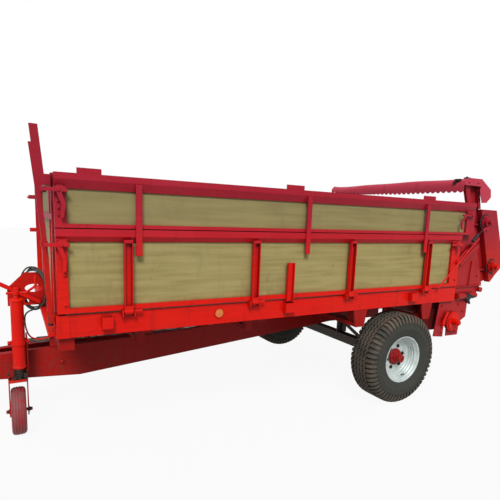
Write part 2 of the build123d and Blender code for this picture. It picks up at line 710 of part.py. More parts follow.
# Hood over the beaters: rolled front edge with a saw-toothed lip, hooked end plates
HOOD_Y = 1010
HOOD_FRONT_X = AXLE_X - 782
ROLL = 44
LIP_DROP = 112
TOOTH_DEPTH = 20
TOOTH_PITCH = 65
TOOTH_COUNT = 31
END_PLATE_T = 5
with BuildPart() as hood:
    with BuildSketch(Plane.XZ.offset(-HOOD_Y)):
        with BuildLine():
            Line((HOOD_FRONT_X, HOOD_TOP - LIP_DROP), (HOOD_FRONT_X, HOOD_TOP - ROLL))
            RadiusArc((HOOD_FRONT_X, HOOD_TOP - ROLL), (HOOD_FRONT_X - ROLL, HOOD_TOP), -ROLL)
            Polyline(
                (HOOD_FRONT_X - ROLL, HOOD_TOP),
                (AXLE_X - 1050, HOOD_TOP),
                (AXLE_X - 1210, HOOD_TOP - 90),
                (AXLE_X - 1222, HOOD_TOP - 160),
                (AXLE_X - 1218, HOOD_TOP - 160),
                (AXLE_X - 1206, HOOD_TOP - 92),
                (AXLE_X - 1049, HOOD_TOP - THIN_SHEET),
                (HOOD_FRONT_X - ROLL, HOOD_TOP - THIN_SHEET),
            )
            RadiusArc(
                (HOOD_FRONT_X - ROLL, HOOD_TOP - THIN_SHEET),
                (HOOD_FRONT_X - THIN_SHEET, HOOD_TOP - ROLL),
                ROLL - THIN_SHEET,
            )
            Polyline(
                (HOOD_FRONT_X - THIN_SHEET, HOOD_TOP - ROLL),
                (HOOD_FRONT_X - THIN_SHEET, HOOD_TOP - LIP_DROP),
                (HOOD_FRONT_X, HOOD_TOP - LIP_DROP),
            )
        make_face()
    extrude(amount=2 * HOOD_Y)
    with BuildSketch(Plane.YZ.offset(HOOD_FRONT_X)):
        for i in range(TOOTH_COUNT):
            y = (i - (TOOTH_COUNT - 1) / 2) * TOOTH_PITCH
            with BuildLine():
                Polyline(
                    (y - TOOTH_PITCH / 2 + 2, HOOD_TOP - LIP_DROP + 1),
                    (y, HOOD_TOP - LIP_DROP - TOOTH_DEPTH),
                    (y + TOOTH_PITCH / 2 - 2, HOOD_TOP - LIP_DROP + 1),
                    close=True,
                )
            make_face()
    extrude(amount=-THIN_SHEET)
    for side in (1, -1):
        with BuildSketch(Plane.XZ.offset(-side * HOOD_Y)):
            with BuildLine():
                Polyline(
                    (HOOD_FRONT_X - ROLL, HOOD_TOP),
                    (AXLE_X - 1050, HOOD_TOP),
                    (AXLE_X - 1212, HOOD_TOP - 89),
                    (AXLE_X - 1226, HOOD_TOP - 162),
                    (AXLE_X - 1160, HOOD_TOP - 220),
                    (AXLE_X - 1087, HOOD_TOP - 225),
                    (AXLE_X - 1037, HOOD_TOP - 120),
                    (AXLE_X - 1034, HOOD_TOP - 96),
                    (AXLE_X - 1050, HOOD_TOP - 60),
                    (HOOD_FRONT_X - 2, HOOD_TOP - 60),
                    (HOOD_FRONT_X - 2, HOOD_TOP - ROLL),
                    close=True,
                )
            make_face()
        extrude(amount=side * END_PLATE_T)
hood.part.label = "hood"
export_step(hood.part, "parts/hood.step")

# Sides of the spreading unit: flanged plate with toothed bearing castings
BEATER_R = 240
BEATER_TUBE_R = 57
HOUSING_R = 50
HOUSING_T = 48
CASTING_R = 70
CASTING_T = 16
NOTCH_COUNT = 12
NOTCH_R = 8
SIDE_PLATE_Y = REAR_Y + 14
with BuildPart() as spreader_side_left:
    with BuildSketch(Plane.XZ.offset(-SIDE_PLATE_Y)):
        with BuildLine():
            Polyline(
                (AXLE_X - 1103, 1846),
                (AXLE_X - 1373, 1844),
                (AXLE_X - 1494, 1534),
                (AXLE_X - 1620, 1330),
                (AXLE_X - 1600, 1250),
                (AXLE_X - 1478, 1155),
                (AXLE_X - 1400, 1079),
                (AXLE_X - 1371, 1079),
                close=True,
            )
        make_face()
        with Locations(UPPER_BEATER, LOWER_BEATER):
            Circle(BEATER_END_R + PIN_PLAY, mode=Mode.SUBTRACT)
    extrude(amount=-SHEET)
    with BuildSketch(Plane.XZ.offset(-REAR_Y + RECESS - SEAT_GAP)):
        with BuildLine():
            Polyline(
                (AXLE_X - 1103, 1846),
                (AXLE_X - 1119, 1846),
                (AXLE_X - 1387, 1079),
                (AXLE_X - 1371, 1079),
                close=True,
            )
        make_face()
    extrude(amount=-RECESS - 14 - 2 * SHEET + SEAT_GAP)
    with BuildSketch(Plane.XZ.offset(-SIDE_PLATE_Y - SHEET)):
        with Locations(UPPER_BEATER, LOWER_BEATER):
            Circle(CASTING_R)
            with PolarLocations(CASTING_R, NOTCH_COUNT):
                Circle(NOTCH_R, mode=Mode.SUBTRACT)
            Circle(BEATER_END_R + PIN_PLAY, mode=Mode.SUBTRACT)
    extrude(amount=-CASTING_T)
    with BuildSketch(Plane.XZ.offset(-SIDE_PLATE_Y - SHEET)):
        with Locations(UPPER_BEATER, LOWER_BEATER):
            Circle(HOUSING_R)
            Circle(BEATER_END_R + PIN_PLAY, mode=Mode.SUBTRACT)
    extrude(amount=-HOUSING_T)
spreader_side_left.part.label = "spreader_side_left"
export_step(spreader_side_left.part, "parts/spreader_side_left.step")

with BuildPart() as spreader_side_right:
    mirror(spreader_side_left.part, about=Plane.XZ)
spreader_side_right.part.label = "spreader_side_right"
export_step(spreader_side_right.part, "parts/spreader_side_right.step")

# Beaters: tube with bladed arms set along two screw lines
BLADE_STEP = 132
blade_rows = [-6, -5, -4, -3, -2, -1, 0, 1, 2, 3, 4, 5, 6]
with BuildPart() as beater_upper:
    with Locations((UPPER_BEATER[0], 0, UPPER_BEATER[1])):
        Cylinder(BEATER_TUBE_R, 2 * 940, rotation=(90, 0, 0))
        Cylinder(BEATER_END_R, 2 * 1090, rotation=(90, 0, 0))
    for row in blade_rows:
        turn = radians(38 * row)
        with BuildSketch(
            Plane(
                origin=(UPPER_BEATER[0], row * BLADE_STEP, UPPER_BEATER[1]),
                x_dir=(cos(turn), 0, sin(turn)),
                z_dir=(0, 1, 0),
            )
        ):
            for end in (1, -1):
                with BuildLine():
                    Polyline(
                        (end * 40, 45),
                        (end * (BEATER_R - 20), 38),
                        (end * (BEATER_R - 4), 0),
                        (end * (BEATER_R - 30), -38),
                        (end * 40, -45),
                        close=True,
                    )
                make_face()
        extrude(amount=8, both=True)
beater_upper.part.label = "beater_upper"
export_step(beater_upper.part, "parts/beater_upper.step")

with BuildPart() as beater_lower:
    with Locations((LOWER_BEATER[0] - UPPER_BEATER[0], 0, LOWER_BEATER[1] - UPPER_BEATER[1])):
        add(beater_upper.part)
beater_lower.part.label = "beater_lower"
export_step(beater_lower.part, "parts/beater_lower.step")

# Floor conveyor: two chains and cross slats in one closed run
CHAIN_T = 18
RETURN_Z = 820
SLAT_HALF = CHAIN_Y + 100
SLAT_COUNT = 8
DRUM_R = 82
run_outline = [
    (AXLE_X + 2780, FLOOR_TOP + 25),
    (DRIVE_X + 60, FLOOR_TOP + 25),
    (DRIVE_X - 115, DRIVE_Z + 120),
    (DRIVE_X - 115, DRIVE_Z - 100),
    (DRIVE_X + 80, DRIVE_Z - 110),
    (DRIVE_X + 340, RETURN_Z),
    (AXLE_X + 2780, RETURN_Z),
]
with BuildPart() as conveyor:
    for side in (1, -1):
        with BuildSketch(Plane.XZ.offset(-side * CHAIN_Y + 12)):
            with BuildLine():
                Polyline(*run_outline, close=True)
            make_face()
            fillet(vertices(), 60)
            offset(amount=-CHAIN_T, mode=Mode.SUBTRACT)
        extrude(amount=-24)
    for x in [AXLE_X + 2620 - 420 * i for i in range(SLAT_COUNT)]:
        with Locations((x, 0, FLOOR_TOP + 13)):
            Box(40, 2 * SLAT_HALF, 26)
        with Locations((x, 0, RETURN_Z + CHAIN_T / 2)):
            Box(40, 2 * SLAT_HALF, CHAIN_T)
conveyor.part.label = "conveyor"
export_step(conveyor.part, "parts/conveyor.step")

# Conveyor shaft with its drums, and the ratchet wheel and hub outside the left bearing plate
RATCHET_R = 98
RATCHET_TEETH = 24
RATCHET_TOOTH = 12
RATCHET_T = 14
RATCHET_Y = REAR_Y + BEARING_PLATE_T + 18
with BuildPart() as conveyor_shaft:
    with Locations((DRIVE_X, 0, DRIVE_Z)):
        Cylinder(DRIVE_SHAFT_R, 2 * 1040, rotation=(90, 0, 0))
    for side in (1, -1):
        with Locations((DRIVE_X, side * CHAIN_Y, DRIVE_Z)):
            Cylinder(DRUM_R, 60, rotation=(90, 0, 0))
    with BuildSketch(Plane.XZ.offset(-RATCHET_Y)):
        with Locations((DRIVE_X, DRIVE_Z)):
            Circle(RATCHET_R)
            with PolarLocations(RATCHET_R, RATCHET_TEETH):
                Polygon((-6, -11), (RATCHET_TOOTH, 9), (-6, 11), align=None)
    extrude(amount=-RATCHET_T)
    with Locations((DRIVE_X, RATCHET_Y + RATCHET_T + 4, DRIVE_Z)):
        Cylinder(RATCHET_R - 14, 8, rotation=(90, 0, 0))
    with Locations((DRIVE_X, RATCHET_Y + RATCHET_T + 30, DRIVE_Z)):
        Cylinder(34, 60, rotation=(90, 0, 0))
    with Locations((DRIVE_X, RATCHET_Y + RATCHET_T + 64, DRIVE_Z)):
        Cylinder(22, 20, rotation=(90, 0, 0))
conveyor_shaft.part.label = "conveyor_shaft"
export_step(conveyor_shaft.part, "parts/conveyor_shaft.step")

# Pawl beside the ratchet wheel, on a pin that stands on the bearing plate
PAWL_PIN = (DRIVE_X + 150, DRIVE_Z - 20)
PAWL_PIN_LENGTH = 40
PAWL_FOOT_Y = REAR_Y + BEARING_PLATE_T + SEAT_GAP
with BuildPart() as pawl_lever:
    with BuildSketch(Plane.XZ.offset(-RATCHET_Y)):
        with BuildLine():
            Polyline(
                (PAWL_PIN[0] + 16, PAWL_PIN[1] - 24),
                (PAWL_PIN[0] - 14, PAWL_PIN[1] - 18),
                (PAWL_PIN[0] - 30, PAWL_PIN[1] + 30),
                (PAWL_PIN[0] - 56, PAWL_PIN[1] + 92),
                (PAWL_PIN[0] - 74, PAWL_PIN[1] + 128),
                (PAWL_PIN[0] - 44, PAWL_PIN[1] + 130),
                (PAWL_PIN[0] + 6, PAWL_PIN[1] + 40),
                close=True,
            )
        make_face()
    extrude(amount=-RATCHET_T)
    with Locations((PAWL_PIN[0], PAWL_FOOT_Y + PAWL_PIN_LENGTH / 2, PAWL_PIN[1])):
        Cylinder(14, PAWL_PIN_LENGTH, rotation=(90, 0, 0))
pawl_lever.part.label = "pawl_lever"
export_step(pawl_lever.part, "parts/pawl_lever.step")

# Drive line: input shaft on the drawbar, bevel gearbox at the rear, chain case on the right
CHAIN_CASE_Y = SIDE_PLATE_Y + SHEET + HOUSING_T
SNOUT_LENGTH = 60
SHAFT_REAR_X = GEARBOX_X + GEARBOX / 2 + 10
with BuildPart() as input_shaft:
    with Locations(((INPUT_FRONT_X + SHAFT_REAR_X) / 2, 0, INPUT_Z)):
        Cylinder(INPUT_R, INPUT_FRONT_X - SHAFT_REAR_X, rotation=(0, 90, 0))
    with Locations((INPUT_FRONT_X + STUB_SHAFT_LENGTH / 2, 0, INPUT_Z)):
        Cylinder(STUB_SHAFT_R, STUB_SHAFT_LENGTH, rotation=(0, 90, 0))
input_shaft.part.label = "input_shaft"
export_step(input_shaft.part, "parts/input_shaft.step")

with BuildPart() as gearbox:
    with Locations((GEARBOX_X, 0, INPUT_Z)):
        Box(GEARBOX, GEARBOX, GEARBOX)
    with Locations((GEARBOX_X + (GEARBOX + SNOUT_LENGTH) / 2, 0, INPUT_Z)):
        Cylinder(42, SNOUT_LENGTH, rotation=(0, 90, 0))
        Cylinder(INPUT_R + PIN_PLAY, SNOUT_LENGTH, rotation=(0, 90, 0), mode=Mode.SUBTRACT)
    with Locations((GEARBOX_X, -(80 + CHAIN_CASE_Y) / 2, INPUT_Z)):
        Cylinder(34, CHAIN_CASE_Y - 80, rotation=(90, 0, 0))
gearbox.part.label = "gearbox"
export_step(gearbox.part, "parts/gearbox.step")

with BuildPart() as chain_case:
    with BuildSketch(Plane.XZ.offset(CHAIN_CASE_Y + SEAT_GAP)):
        with BuildLine():
            Polyline(
                (AXLE_X - 980, 590),
                (AXLE_X - 1120, 570),
                (AXLE_X - 1470, 1200),
                (AXLE_X - 1460, 1320),
                (AXLE_X - 1270, 1790),
                (AXLE_X - 1110, 1790),
                (AXLE_X - 1100, 1700),
                (AXLE_X - 1290, 1290),
                (AXLE_X - 1300, 1200),
                (AXLE_X - 990, 680),
                close=True,
            )
        make_face()
        with Locations(UPPER_BEATER, LOWER_BEATER):
            Circle(BEATER_END_R + 6, mode=Mode.SUBTRACT)
    extrude(amount=40)
chain_case.part.label = "chain_case"
export_step(chain_case.part, "parts/chain_case.step")

# Jockey stand on the left chassis plate, wheel turned across the wagon
JOCKEY_X = AXLE_X + 3130
JOCKEY_Y = 285
SLEEVE_R = 50
SLEEVE_BORE = 43
LEG_R = 42.9
JOCKEY_WHEEL_R = 178
JOCKEY_WHEEL_W = 105
CRANK_R = 14
CRANK_ROD_R = 9
CRANK_REACH = 128
with BuildPart() as jockey_sleeve:
    with Locations((JOCKEY_X, JOCKEY_Y, 775)):
        Cylinder(SLEEVE_R, 520)
        Cylinder(SLEEVE_BORE, 520, mode=Mode.SUBTRACT)
    with Locations((JOCKEY_X, JOCKEY_Y, 1030)):
        Cylinder(SLEEVE_R, 10)
    with Locations((JOCKEY_X, JOCKEY_Y, 1030)):
        Cylinder(CRANK_R + PIN_PLAY, 12, mode=Mode.SUBTRACT)
    for z in (520, 560):
        with Locations((JOCKEY_X, (117 + JOCKEY_Y - SLEEVE_BORE - 4) / 2, z)):
            Box(70, JOCKEY_Y - SLEEVE_BORE - 4 - 117, 10)
jockey_sleeve.part.label = "jockey_sleeve"
export_step(jockey_sleeve.part, "parts/jockey_sleeve.step")

with BuildPart() as jockey_leg:
    with Locations((JOCKEY_X, JOCKEY_Y, 745)):
        Cylinder(LEG_R, 480)
    with Locations((JOCKEY_X, JOCKEY_Y, 470)):
        Box(144, 70, 80)
    with Locations((JOCKEY_X, JOCKEY_Y, 422)):
        Box(156, 100, 20)
    for end in (1, -1):
        with Locations((JOCKEY_X + end * 72, JOCKEY_Y, 283)):
            Box(12, 60, 276)
        with Locations((JOCKEY_X + end * 86, JOCKEY_Y, JOCKEY_WHEEL_R)):
            Cylinder(20, 16, rotation=(0, 90, 0))
    with Locations((JOCKEY_X, JOCKEY_Y, JOCKEY_WHEEL_R)):
        Cylinder(12, 190, rotation=(0, 90, 0))
jockey_leg.part.label = "jockey_leg"
export_step(jockey_leg.part, "parts/jockey_leg.step")

with BuildPart() as jockey_wheel:
    with Locations((JOCKEY_X, JOCKEY_Y, JOCKEY_WHEEL_R)):
        Cylinder(JOCKEY_WHEEL_R, JOCKEY_WHEEL_W, rotation=(0, 90, 0))
        Cylinder(12 + PIN_PLAY, JOCKEY_WHEEL_W, rotation=(0, 90, 0), mode=Mode.SUBTRACT)
jockey_wheel.part.label = "jockey_wheel"
export_step(jockey_wheel.part, "parts/jockey_wheel.step")

with BuildPart() as jockey_crank:
    with Locations((JOCKEY_X, JOCKEY_Y, 1050)):
        Cylinder(CRANK_R, 90)
    with BuildLine(Plane.XZ.offset(-JOCKEY_Y)) as rod:
        FilletPolyline(
            (JOCKEY_X + 66, 1078),
            (JOCKEY_X - 62, 1078),
            (JOCKEY_X - CRANK_REACH, 1125),
            (JOCKEY_X - CRANK_REACH, 1200),
            radius=30,
        )
    with BuildSketch(Plane(origin=rod.line @ 0, z_dir=rod.line % 0)):
        Circle(CRANK_ROD_R)
    sweep(path=rod.wire())
    with Locations((JOCKEY_X, JOCKEY_Y, 1078)):
        Cylinder(22, 26)
jockey_crank.part.label = "jockey_crank"
export_step(jockey_crank.part, "parts/jockey_crank.step")

# Hose holder plate on the front wall, the control bar before it and the hose coiled over it
HOLDER_Y = 90
HOLDER_T = 6
HOLDER_TOP = 1201.5
BAR_Y = HOLDER_Y + HOLDER_T + SEAT_GAP
BAR_T = 19
with BuildPart() as hose_holder:
    with BuildSketch(Plane.XZ.offset(-HOLDER_Y)):
        with BuildLine():
            Polyline(
                (FRONT_X + SEAT_GAP, FRONT_SILL_TOP + SEAT_GAP),
                (FRONT_X + SEAT_GAP, 1110),
                (AXLE_X + 2962, HOLDER_TOP),
                (AXLE_X + 3072, HOLDER_TOP),
                (AXLE_X + 3190, 1086),
                (AXLE_X + 3190, 946),
                (FRONT_X + FRONT_SILL + 8, 946),
                (FRONT_X + FRONT_SILL + 8, FRONT_SILL_TOP + SEAT_GAP),
                close=True,
            )
        make_face()
        with Locations((AXLE_X + 3008, 1079)):
            Ellipse(62, 31, mode=Mode.SUBTRACT)
        with Locations((AXLE_X + 3060, 978)):
            Circle(15, mode=Mode.SUBTRACT)
    extrude(amount=-HOLDER_T)
hose_holder.part.label = "hose_holder"
export_step(hose_holder.part, "parts/hose_holder.step")

with BuildPart() as control_bar:
    with BuildSketch(Plane.XZ.offset(-BAR_Y)):
        with BuildLine():
            Polyline(
                (AXLE_X + 2968, 952),
                (AXLE_X + 2960, 982),
                (AXLE_X + 3560, 1318),
                (AXLE_X + 3574, 1294),
                close=True,
            )
        make_face()
    extrude(amount=-BAR_T)
control_bar.part.label = "control_bar"
export_step(control_bar.part, "parts/control_bar.step")

HOSE_D = 18
COIL_HALF_WIDTH = 89.5
COIL_HALF_HEIGHT = 158
with BuildPart() as hose:
    with BuildSketch(
        Plane(origin=(AXLE_X + 3017.5, 97.5, 1072), x_dir=(145, -105, 0), z_dir=(105, 145, 0))
    ):
        Ellipse(COIL_HALF_WIDTH, COIL_HALF_HEIGHT)
        Ellipse(COIL_HALF_WIDTH - HOSE_D, COIL_HALF_HEIGHT - HOSE_D, mode=Mode.SUBTRACT)
    extrude(amount=HOSE_D / 2 + 1, both=True)
hose.part.label = "hose"
export_step(hose.part, "parts/hose.step")

# Latches at the corners of the sides: foot, humped lever and curved handle
LATCH_Y = RAIL_Y - 10
HUMP = 26
# Pivot, height, lever front, lever rear, handle top, handle end, handle bow, handle length
latches = [
    (2900, UPPER_LATCH_Z, 2992, 2850, 2898, 2884, -12, 158),
    (2893, LOWER_LATCH_Z, 2980, 2845, 2903, 2879, -4, 158),
    (-700, LOWER_LATCH_Z, -613, -776, -690, -711, 2, 76),
    (-870, UPPER_LATCH_Z - 24, -728, -909, -775, -733, 8, 140),
]
with BuildPart() as latches_left:
    for pivot, z, front, rear, top, end, bow, drop in latches:
        with Locations((AXLE_X + pivot, LATCH_Y + SEAT_GAP + 12, z)):
            Box(34, 24, 34)
        with BuildSketch(Plane.XZ.offset(-LATCH_Y - 22)):
            with BuildLine():
                Polyline(
                    (AXLE_X + front, z + 8),
                    (AXLE_X + pivot + 20, z + 12),
                    (AXLE_X + pivot + 6, z + HUMP),
                    (AXLE_X + pivot - 20, z + HUMP),
                    (AXLE_X + rear, z + 6),
                    (AXLE_X + rear, z - 12),
                    (AXLE_X + front, z - 10),
                    close=True,
                )
            make_face()
            with BuildLine():
                Polyline(
                    (AXLE_X + top - 15, z - 8),
                    (AXLE_X + end + bow - 12, z - 0.55 * drop),
                    (AXLE_X + end - 10, z - drop),
                    (AXLE_X + end + 10, z - drop),
                    (AXLE_X + end + bow + 12, z - 0.55 * drop),
                    (AXLE_X + top + 15, z - 8),
                    close=True,
                )
            make_face()
        extrude(amount=-10)
        with Locations((AXLE_X + pivot, LATCH_Y + 35, z)):
            Cylinder(11, 8, rotation=(90, 0, 0))
latches_left.part.label = "latches_left"
export_step(latches_left.part, "parts/latches_left.step")

with BuildPart() as latches_right:
    mirror(latches_left.part, about=Plane.XZ)
latches_right.part.label = "latches_right"
export_step(latches_right.part, "parts/latches_right.step")

# Spare stake carried outside the left bottom rail, above its pocket
with BuildPart() as loose_stake:
    with Locations((AXLE_X + 1262, RAIL_Y - 10 + SEAT_GAP + 12, 1194)):
        Box(60, 24, 300)
    with Locations((AXLE_X + 1262, RAIL_Y - 10 + SEAT_GAP + 18, 1194)):
        Box(48, 24, 310, mode=Mode.SUBTRACT)
loose_stake.part.label = "loose_stake"
export_step(loose_stake.part, "parts/loose_stake.step")
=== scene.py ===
import json
import math

import bmesh
import bpy
from mathutils import Matrix, Vector
from mathutils.bvhtree import BVHTree


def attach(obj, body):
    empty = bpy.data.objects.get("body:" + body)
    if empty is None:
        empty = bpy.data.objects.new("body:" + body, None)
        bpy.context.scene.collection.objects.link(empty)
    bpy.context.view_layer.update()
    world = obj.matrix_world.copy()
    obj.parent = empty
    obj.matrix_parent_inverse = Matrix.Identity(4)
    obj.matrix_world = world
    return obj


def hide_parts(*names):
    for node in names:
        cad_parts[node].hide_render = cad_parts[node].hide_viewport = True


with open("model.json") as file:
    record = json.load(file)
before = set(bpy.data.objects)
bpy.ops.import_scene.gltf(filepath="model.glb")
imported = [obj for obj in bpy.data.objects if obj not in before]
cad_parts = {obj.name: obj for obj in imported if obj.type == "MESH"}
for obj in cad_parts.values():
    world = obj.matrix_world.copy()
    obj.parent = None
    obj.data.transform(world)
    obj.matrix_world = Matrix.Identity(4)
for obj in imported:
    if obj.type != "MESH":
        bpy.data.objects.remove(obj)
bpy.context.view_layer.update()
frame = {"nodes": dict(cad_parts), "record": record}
nodes = frame["nodes"]

AXLE_X = -1.3625  # metres; the wheels' axis stands this far behind the middle of the length


# Camera: where the photographer stood, worked out from the body's rails and both wheels
CAMERA_PLACE = Vector((AXLE_X + 3.1403, 3.7774, 1.6838))
CAMERA_YAW = math.radians(29.18)
CAMERA_DOWN = math.radians(8.686)
CAMERA_ROLL = math.radians(2.069)
FOCAL_PIXELS = 428.3
PICTURE_PIXELS = 500
CENTRE_ROW = 282.45


def place_camera():
    view = Vector(
        (
            -math.sin(CAMERA_YAW) * math.cos(CAMERA_DOWN),
            -math.cos(CAMERA_YAW) * math.cos(CAMERA_DOWN),
            -math.sin(CAMERA_DOWN),
        )
    )
    right = view.cross(Vector((0, 0, 1))).normalized()
    up = right.cross(view)
    right, up = (
        right * math.cos(CAMERA_ROLL) + up * math.sin(CAMERA_ROLL),
        up * math.cos(CAMERA_ROLL) - right * math.sin(CAMERA_ROLL),
    )
    data = bpy.data.cameras.new("camera")
    data.sensor_width = 36
    data.lens = FOCAL_PIXELS / PICTURE_PIXELS * data.sensor_width
    data.shift_y = (CENTRE_ROW - PICTURE_PIXELS / 2) / PICTURE_PIXELS
    data.clip_start = 0.05
    data.clip_end = 200
    camera = bpy.data.objects.new("camera", data)
    turned = Matrix((right, up, -view)).transposed().to_4x4()
    camera.matrix_world = Matrix.Translation(CAMERA_PLACE) @ turned
    bpy.context.scene.collection.objects.link(camera)
    bpy.context.scene.camera = camera


# Shader maths: a socket that takes part in Python expressions
class Value:
    def __init__(self, paint, socket):
        self.paint = paint
        self.socket = socket

    def _math(self, operation, first, second=None, clamp=False):
        inputs = {0: first}
        if second is not None:
            inputs[1] = second
        settings = {"operation": operation, "use_clamp": clamp}
        return self.paint.node("ShaderNodeMath", settings, inputs)

    def __add__(self, other):
        return self._math("ADD", self, other)

    def __sub__(self, other):
        return self._math("SUBTRACT", self, other)

    def __rsub__(self, other):
        return self._math("SUBTRACT", other, self)

    def __mul__(self, other):
        return self._math("MULTIPLY", self, other)

    def power(self, exponent):
        return self._math("POWER", self, exponent)

    def limit(self):
        return self._math("ADD", self, 0.0, clamp=True)

    def step(self, low, high):
        """0 below low, 1 above high, smooth between."""
        return self.paint.node(
            "ShaderNodeMapRange",
            {"interpolation_type": "SMOOTHSTEP"},
            {"Value": self, "From Min": low, "From Max": high, "To Min": 0.0, "To Max": 1.0},
        )


class Paint:
    """One material; node() adds any node and gives back the chosen output as a Value."""

    def __init__(self, name):
        self.material = bpy.data.materials.new(name)
        self.material.use_nodes = True
        self.tree = self.material.node_tree
        self.shader = self.tree.nodes["Principled BSDF"]
        self.place = self.node("ShaderNodeTexCoord", {}, {}, "Object")
        split = self.tree.nodes.new("ShaderNodeSeparateXYZ")
        self.join(split.inputs[0], self.place)
        self.x, self.y, self.z = (Value(self, split.outputs[i]) for i in range(3))

    def join(self, target, value):
        if isinstance(value, Value):
            self.tree.links.new(value.socket, target)
        elif value is not None:
            target.default_value = value

    def node(self, kind, settings, inputs, output=0):
        made = self.tree.nodes.new(kind)
        for key, value in settings.items():
            setattr(made, key, value)
        for key, value in inputs.items():
            if isinstance(value, tuple) and len(value) == 3 and made.inputs[key].type == "RGBA":
                value = (*value, 1)
            self.join(made.inputs[key], value)
        return Value(self, made.outputs[output])

    def noise(self, scale, detail=3.0, roughness=0.5, stretch=(1, 1, 1), distortion=0.0):
        place = self.place
        if stretch != (1, 1, 1):
            scaled = {0: place, 1: stretch}
            place = self.node("ShaderNodeVectorMath", {"operation": "MULTIPLY"}, scaled)
        return self.node(
            "ShaderNodeTexNoise",
            {},
            {
                "Vector": place,
                "Scale": scale,
                "Detail": detail,
                "Roughness": roughness,
                "Distortion": distortion,
            },
        )

    def cells(self, scale):
        inputs = {"Vector": self.place, "Scale": scale}
        return self.node("ShaderNodeTexVoronoi", {}, inputs, "Distance")

    def mix(self, factor, first, second):
        """A colour between two colours."""
        made = self.tree.nodes.new("ShaderNodeMix")
        made.data_type = "RGBA"
        self.join(made.inputs["Factor"], factor)
        for socket, value in ((made.inputs[6], first), (made.inputs[7], second)):
            if isinstance(value, tuple):
                value = (*value, 1)
            self.join(socket, value)
        return Value(self, made.outputs[2])

    def edges(self, radius):
        """1 on edges and 0 on open faces: how far a rounded normal turns from the true one."""
        rounded = self.node("ShaderNodeBevel", {"samples": 4}, {"Radius": radius})
        true = self.node("ShaderNodeNewGeometry", {}, {}, "True Normal")
        normals = {0: rounded, 1: true}
        same = self.node("ShaderNodeVectorMath", {"operation": "DOT_PRODUCT"}, normals, "Value")
        return same.step(0.985, 0.86)

    def painted_shade_mask(self, distance):
        """0 on open faces, towards 1 in corners and under neighbours: the mask for painted shade.
        """
        inputs = {"Distance": distance}
        return 1.0 - self.node("ShaderNodeAmbientOcclusion", {"samples": 8}, inputs, "AO")

    def bump(self, height, distance, strength=1.0, rounding=None):
        inputs = {"Height": height, "Distance": distance, "Strength": strength}
        if rounding:
            inputs["Normal"] = self.node("ShaderNodeBevel", {"samples": 4}, {"Radius": rounding})
        bumped = self.node("ShaderNodeBump", {}, inputs)
        self.join(self.shader.inputs["Normal"], bumped)

    def finish(self, **sockets):
        for key, value in sockets.items():
            socket = self.shader.inputs[key.replace("_", " ")]
            if isinstance(value, tuple):
                value = (*value, 1)
            self.join(socket, value)
        return self.material


def red_paint(name, low, high, gloss=0.40, chips=0.5, fade=0.16, grease=None):
    """Hand-painted machine enamel: lower parts are a warm red, upper parts a cooler crimson, with
    painted shade in corners.
    """
    p = Paint(name)
    height = p.z.step(1.25, 1.75)
    base = p.mix(height, low, high)
    broad = p.noise(2.3, 4.0, 0.55)
    fine = p.noise(38.0, 5.0, 0.6)
    streaks = p.noise(5.0, 4.0, 0.6, stretch=(3.0, 3.0, 0.5))
    brush = p.noise(14.0, 3.0, 0.6, stretch=(0.25, 1.0, 4.0))
    chalky = p.mix(height, (0.88, 0.035, 0.012), (0.66, 0.05, 0.08))
    faded = p.mix((broad - 0.42) * fade * 4.0, base, chalky)
    patchy = p.mix(brush.step(0.45, 0.75) * 0.22, faded, (0.30, 0.006, 0.006))
    dirty = p.mix(streaks.step(0.56, 0.80) * 0.40, patchy, (0.12, 0.008, 0.010))
    # Darker and browner towards the bottom, in patches.
    darker_low_and_corner_shade = p.mix(p.z.step(0.75, 0.35) * fine.step(0.42, 0.7) * 0.45, dirty, (0.13, 0.05, 0.035))
    # Painted shade: near-black red in corners and under neighbouring parts.
    corners = p.painted_shade_mask(0.16).step(0.22, 0.92) * (broad * 0.5 + 0.62)
    darker_low_and_corner_shade = p.mix(corners.limit() * 0.80, darker_low_and_corner_shade, (0.045, 0.003, 0.004))
    rubbed = p.edges(0.004) * fine.step(0.44, 0.60)
    spots = p.noise(95.0, 2.0, 0.5).step(0.69, 0.73) * broad.step(0.45, 0.62) * chips
    worn = (rubbed * 0.55 * chips + spots).limit()
    rust = p.mix(fine, (0.10, 0.032, 0.015), (0.045, 0.018, 0.012))
    colour = p.mix(worn, darker_low_and_corner_shade, rust)
    shine = streaks * 0.22 + gloss + worn * 0.3 - 0.06
    if grease:
        bottom, top = grease
        smear = p.z.step(bottom, bottom + 0.012) * p.z.step(top, top - 0.012)
        smear = smear * p.noise(55.0, 4.0, 0.7).step(0.38, 0.50)
        smeared = p.mix(fine.step(0.5, 0.7), (0.012, 0.009, 0.008), (0.12, 0.075, 0.04))
        colour = p.mix(smear, colour, smeared)
        shine = shine + smear * -0.1
    p.bump(fine * 0.5 + worn * -0.8 + broad * 0.6 + brush * 0.35, 0.0012, 0.5, rounding=0.003)
    return p.finish(
        Base_Color=colour,
        Roughness=shine.limit(),
        Coat_Weight=0.06,
        Coat_Roughness=0.22,
        Specular_IOR_Level=0.20,
    )


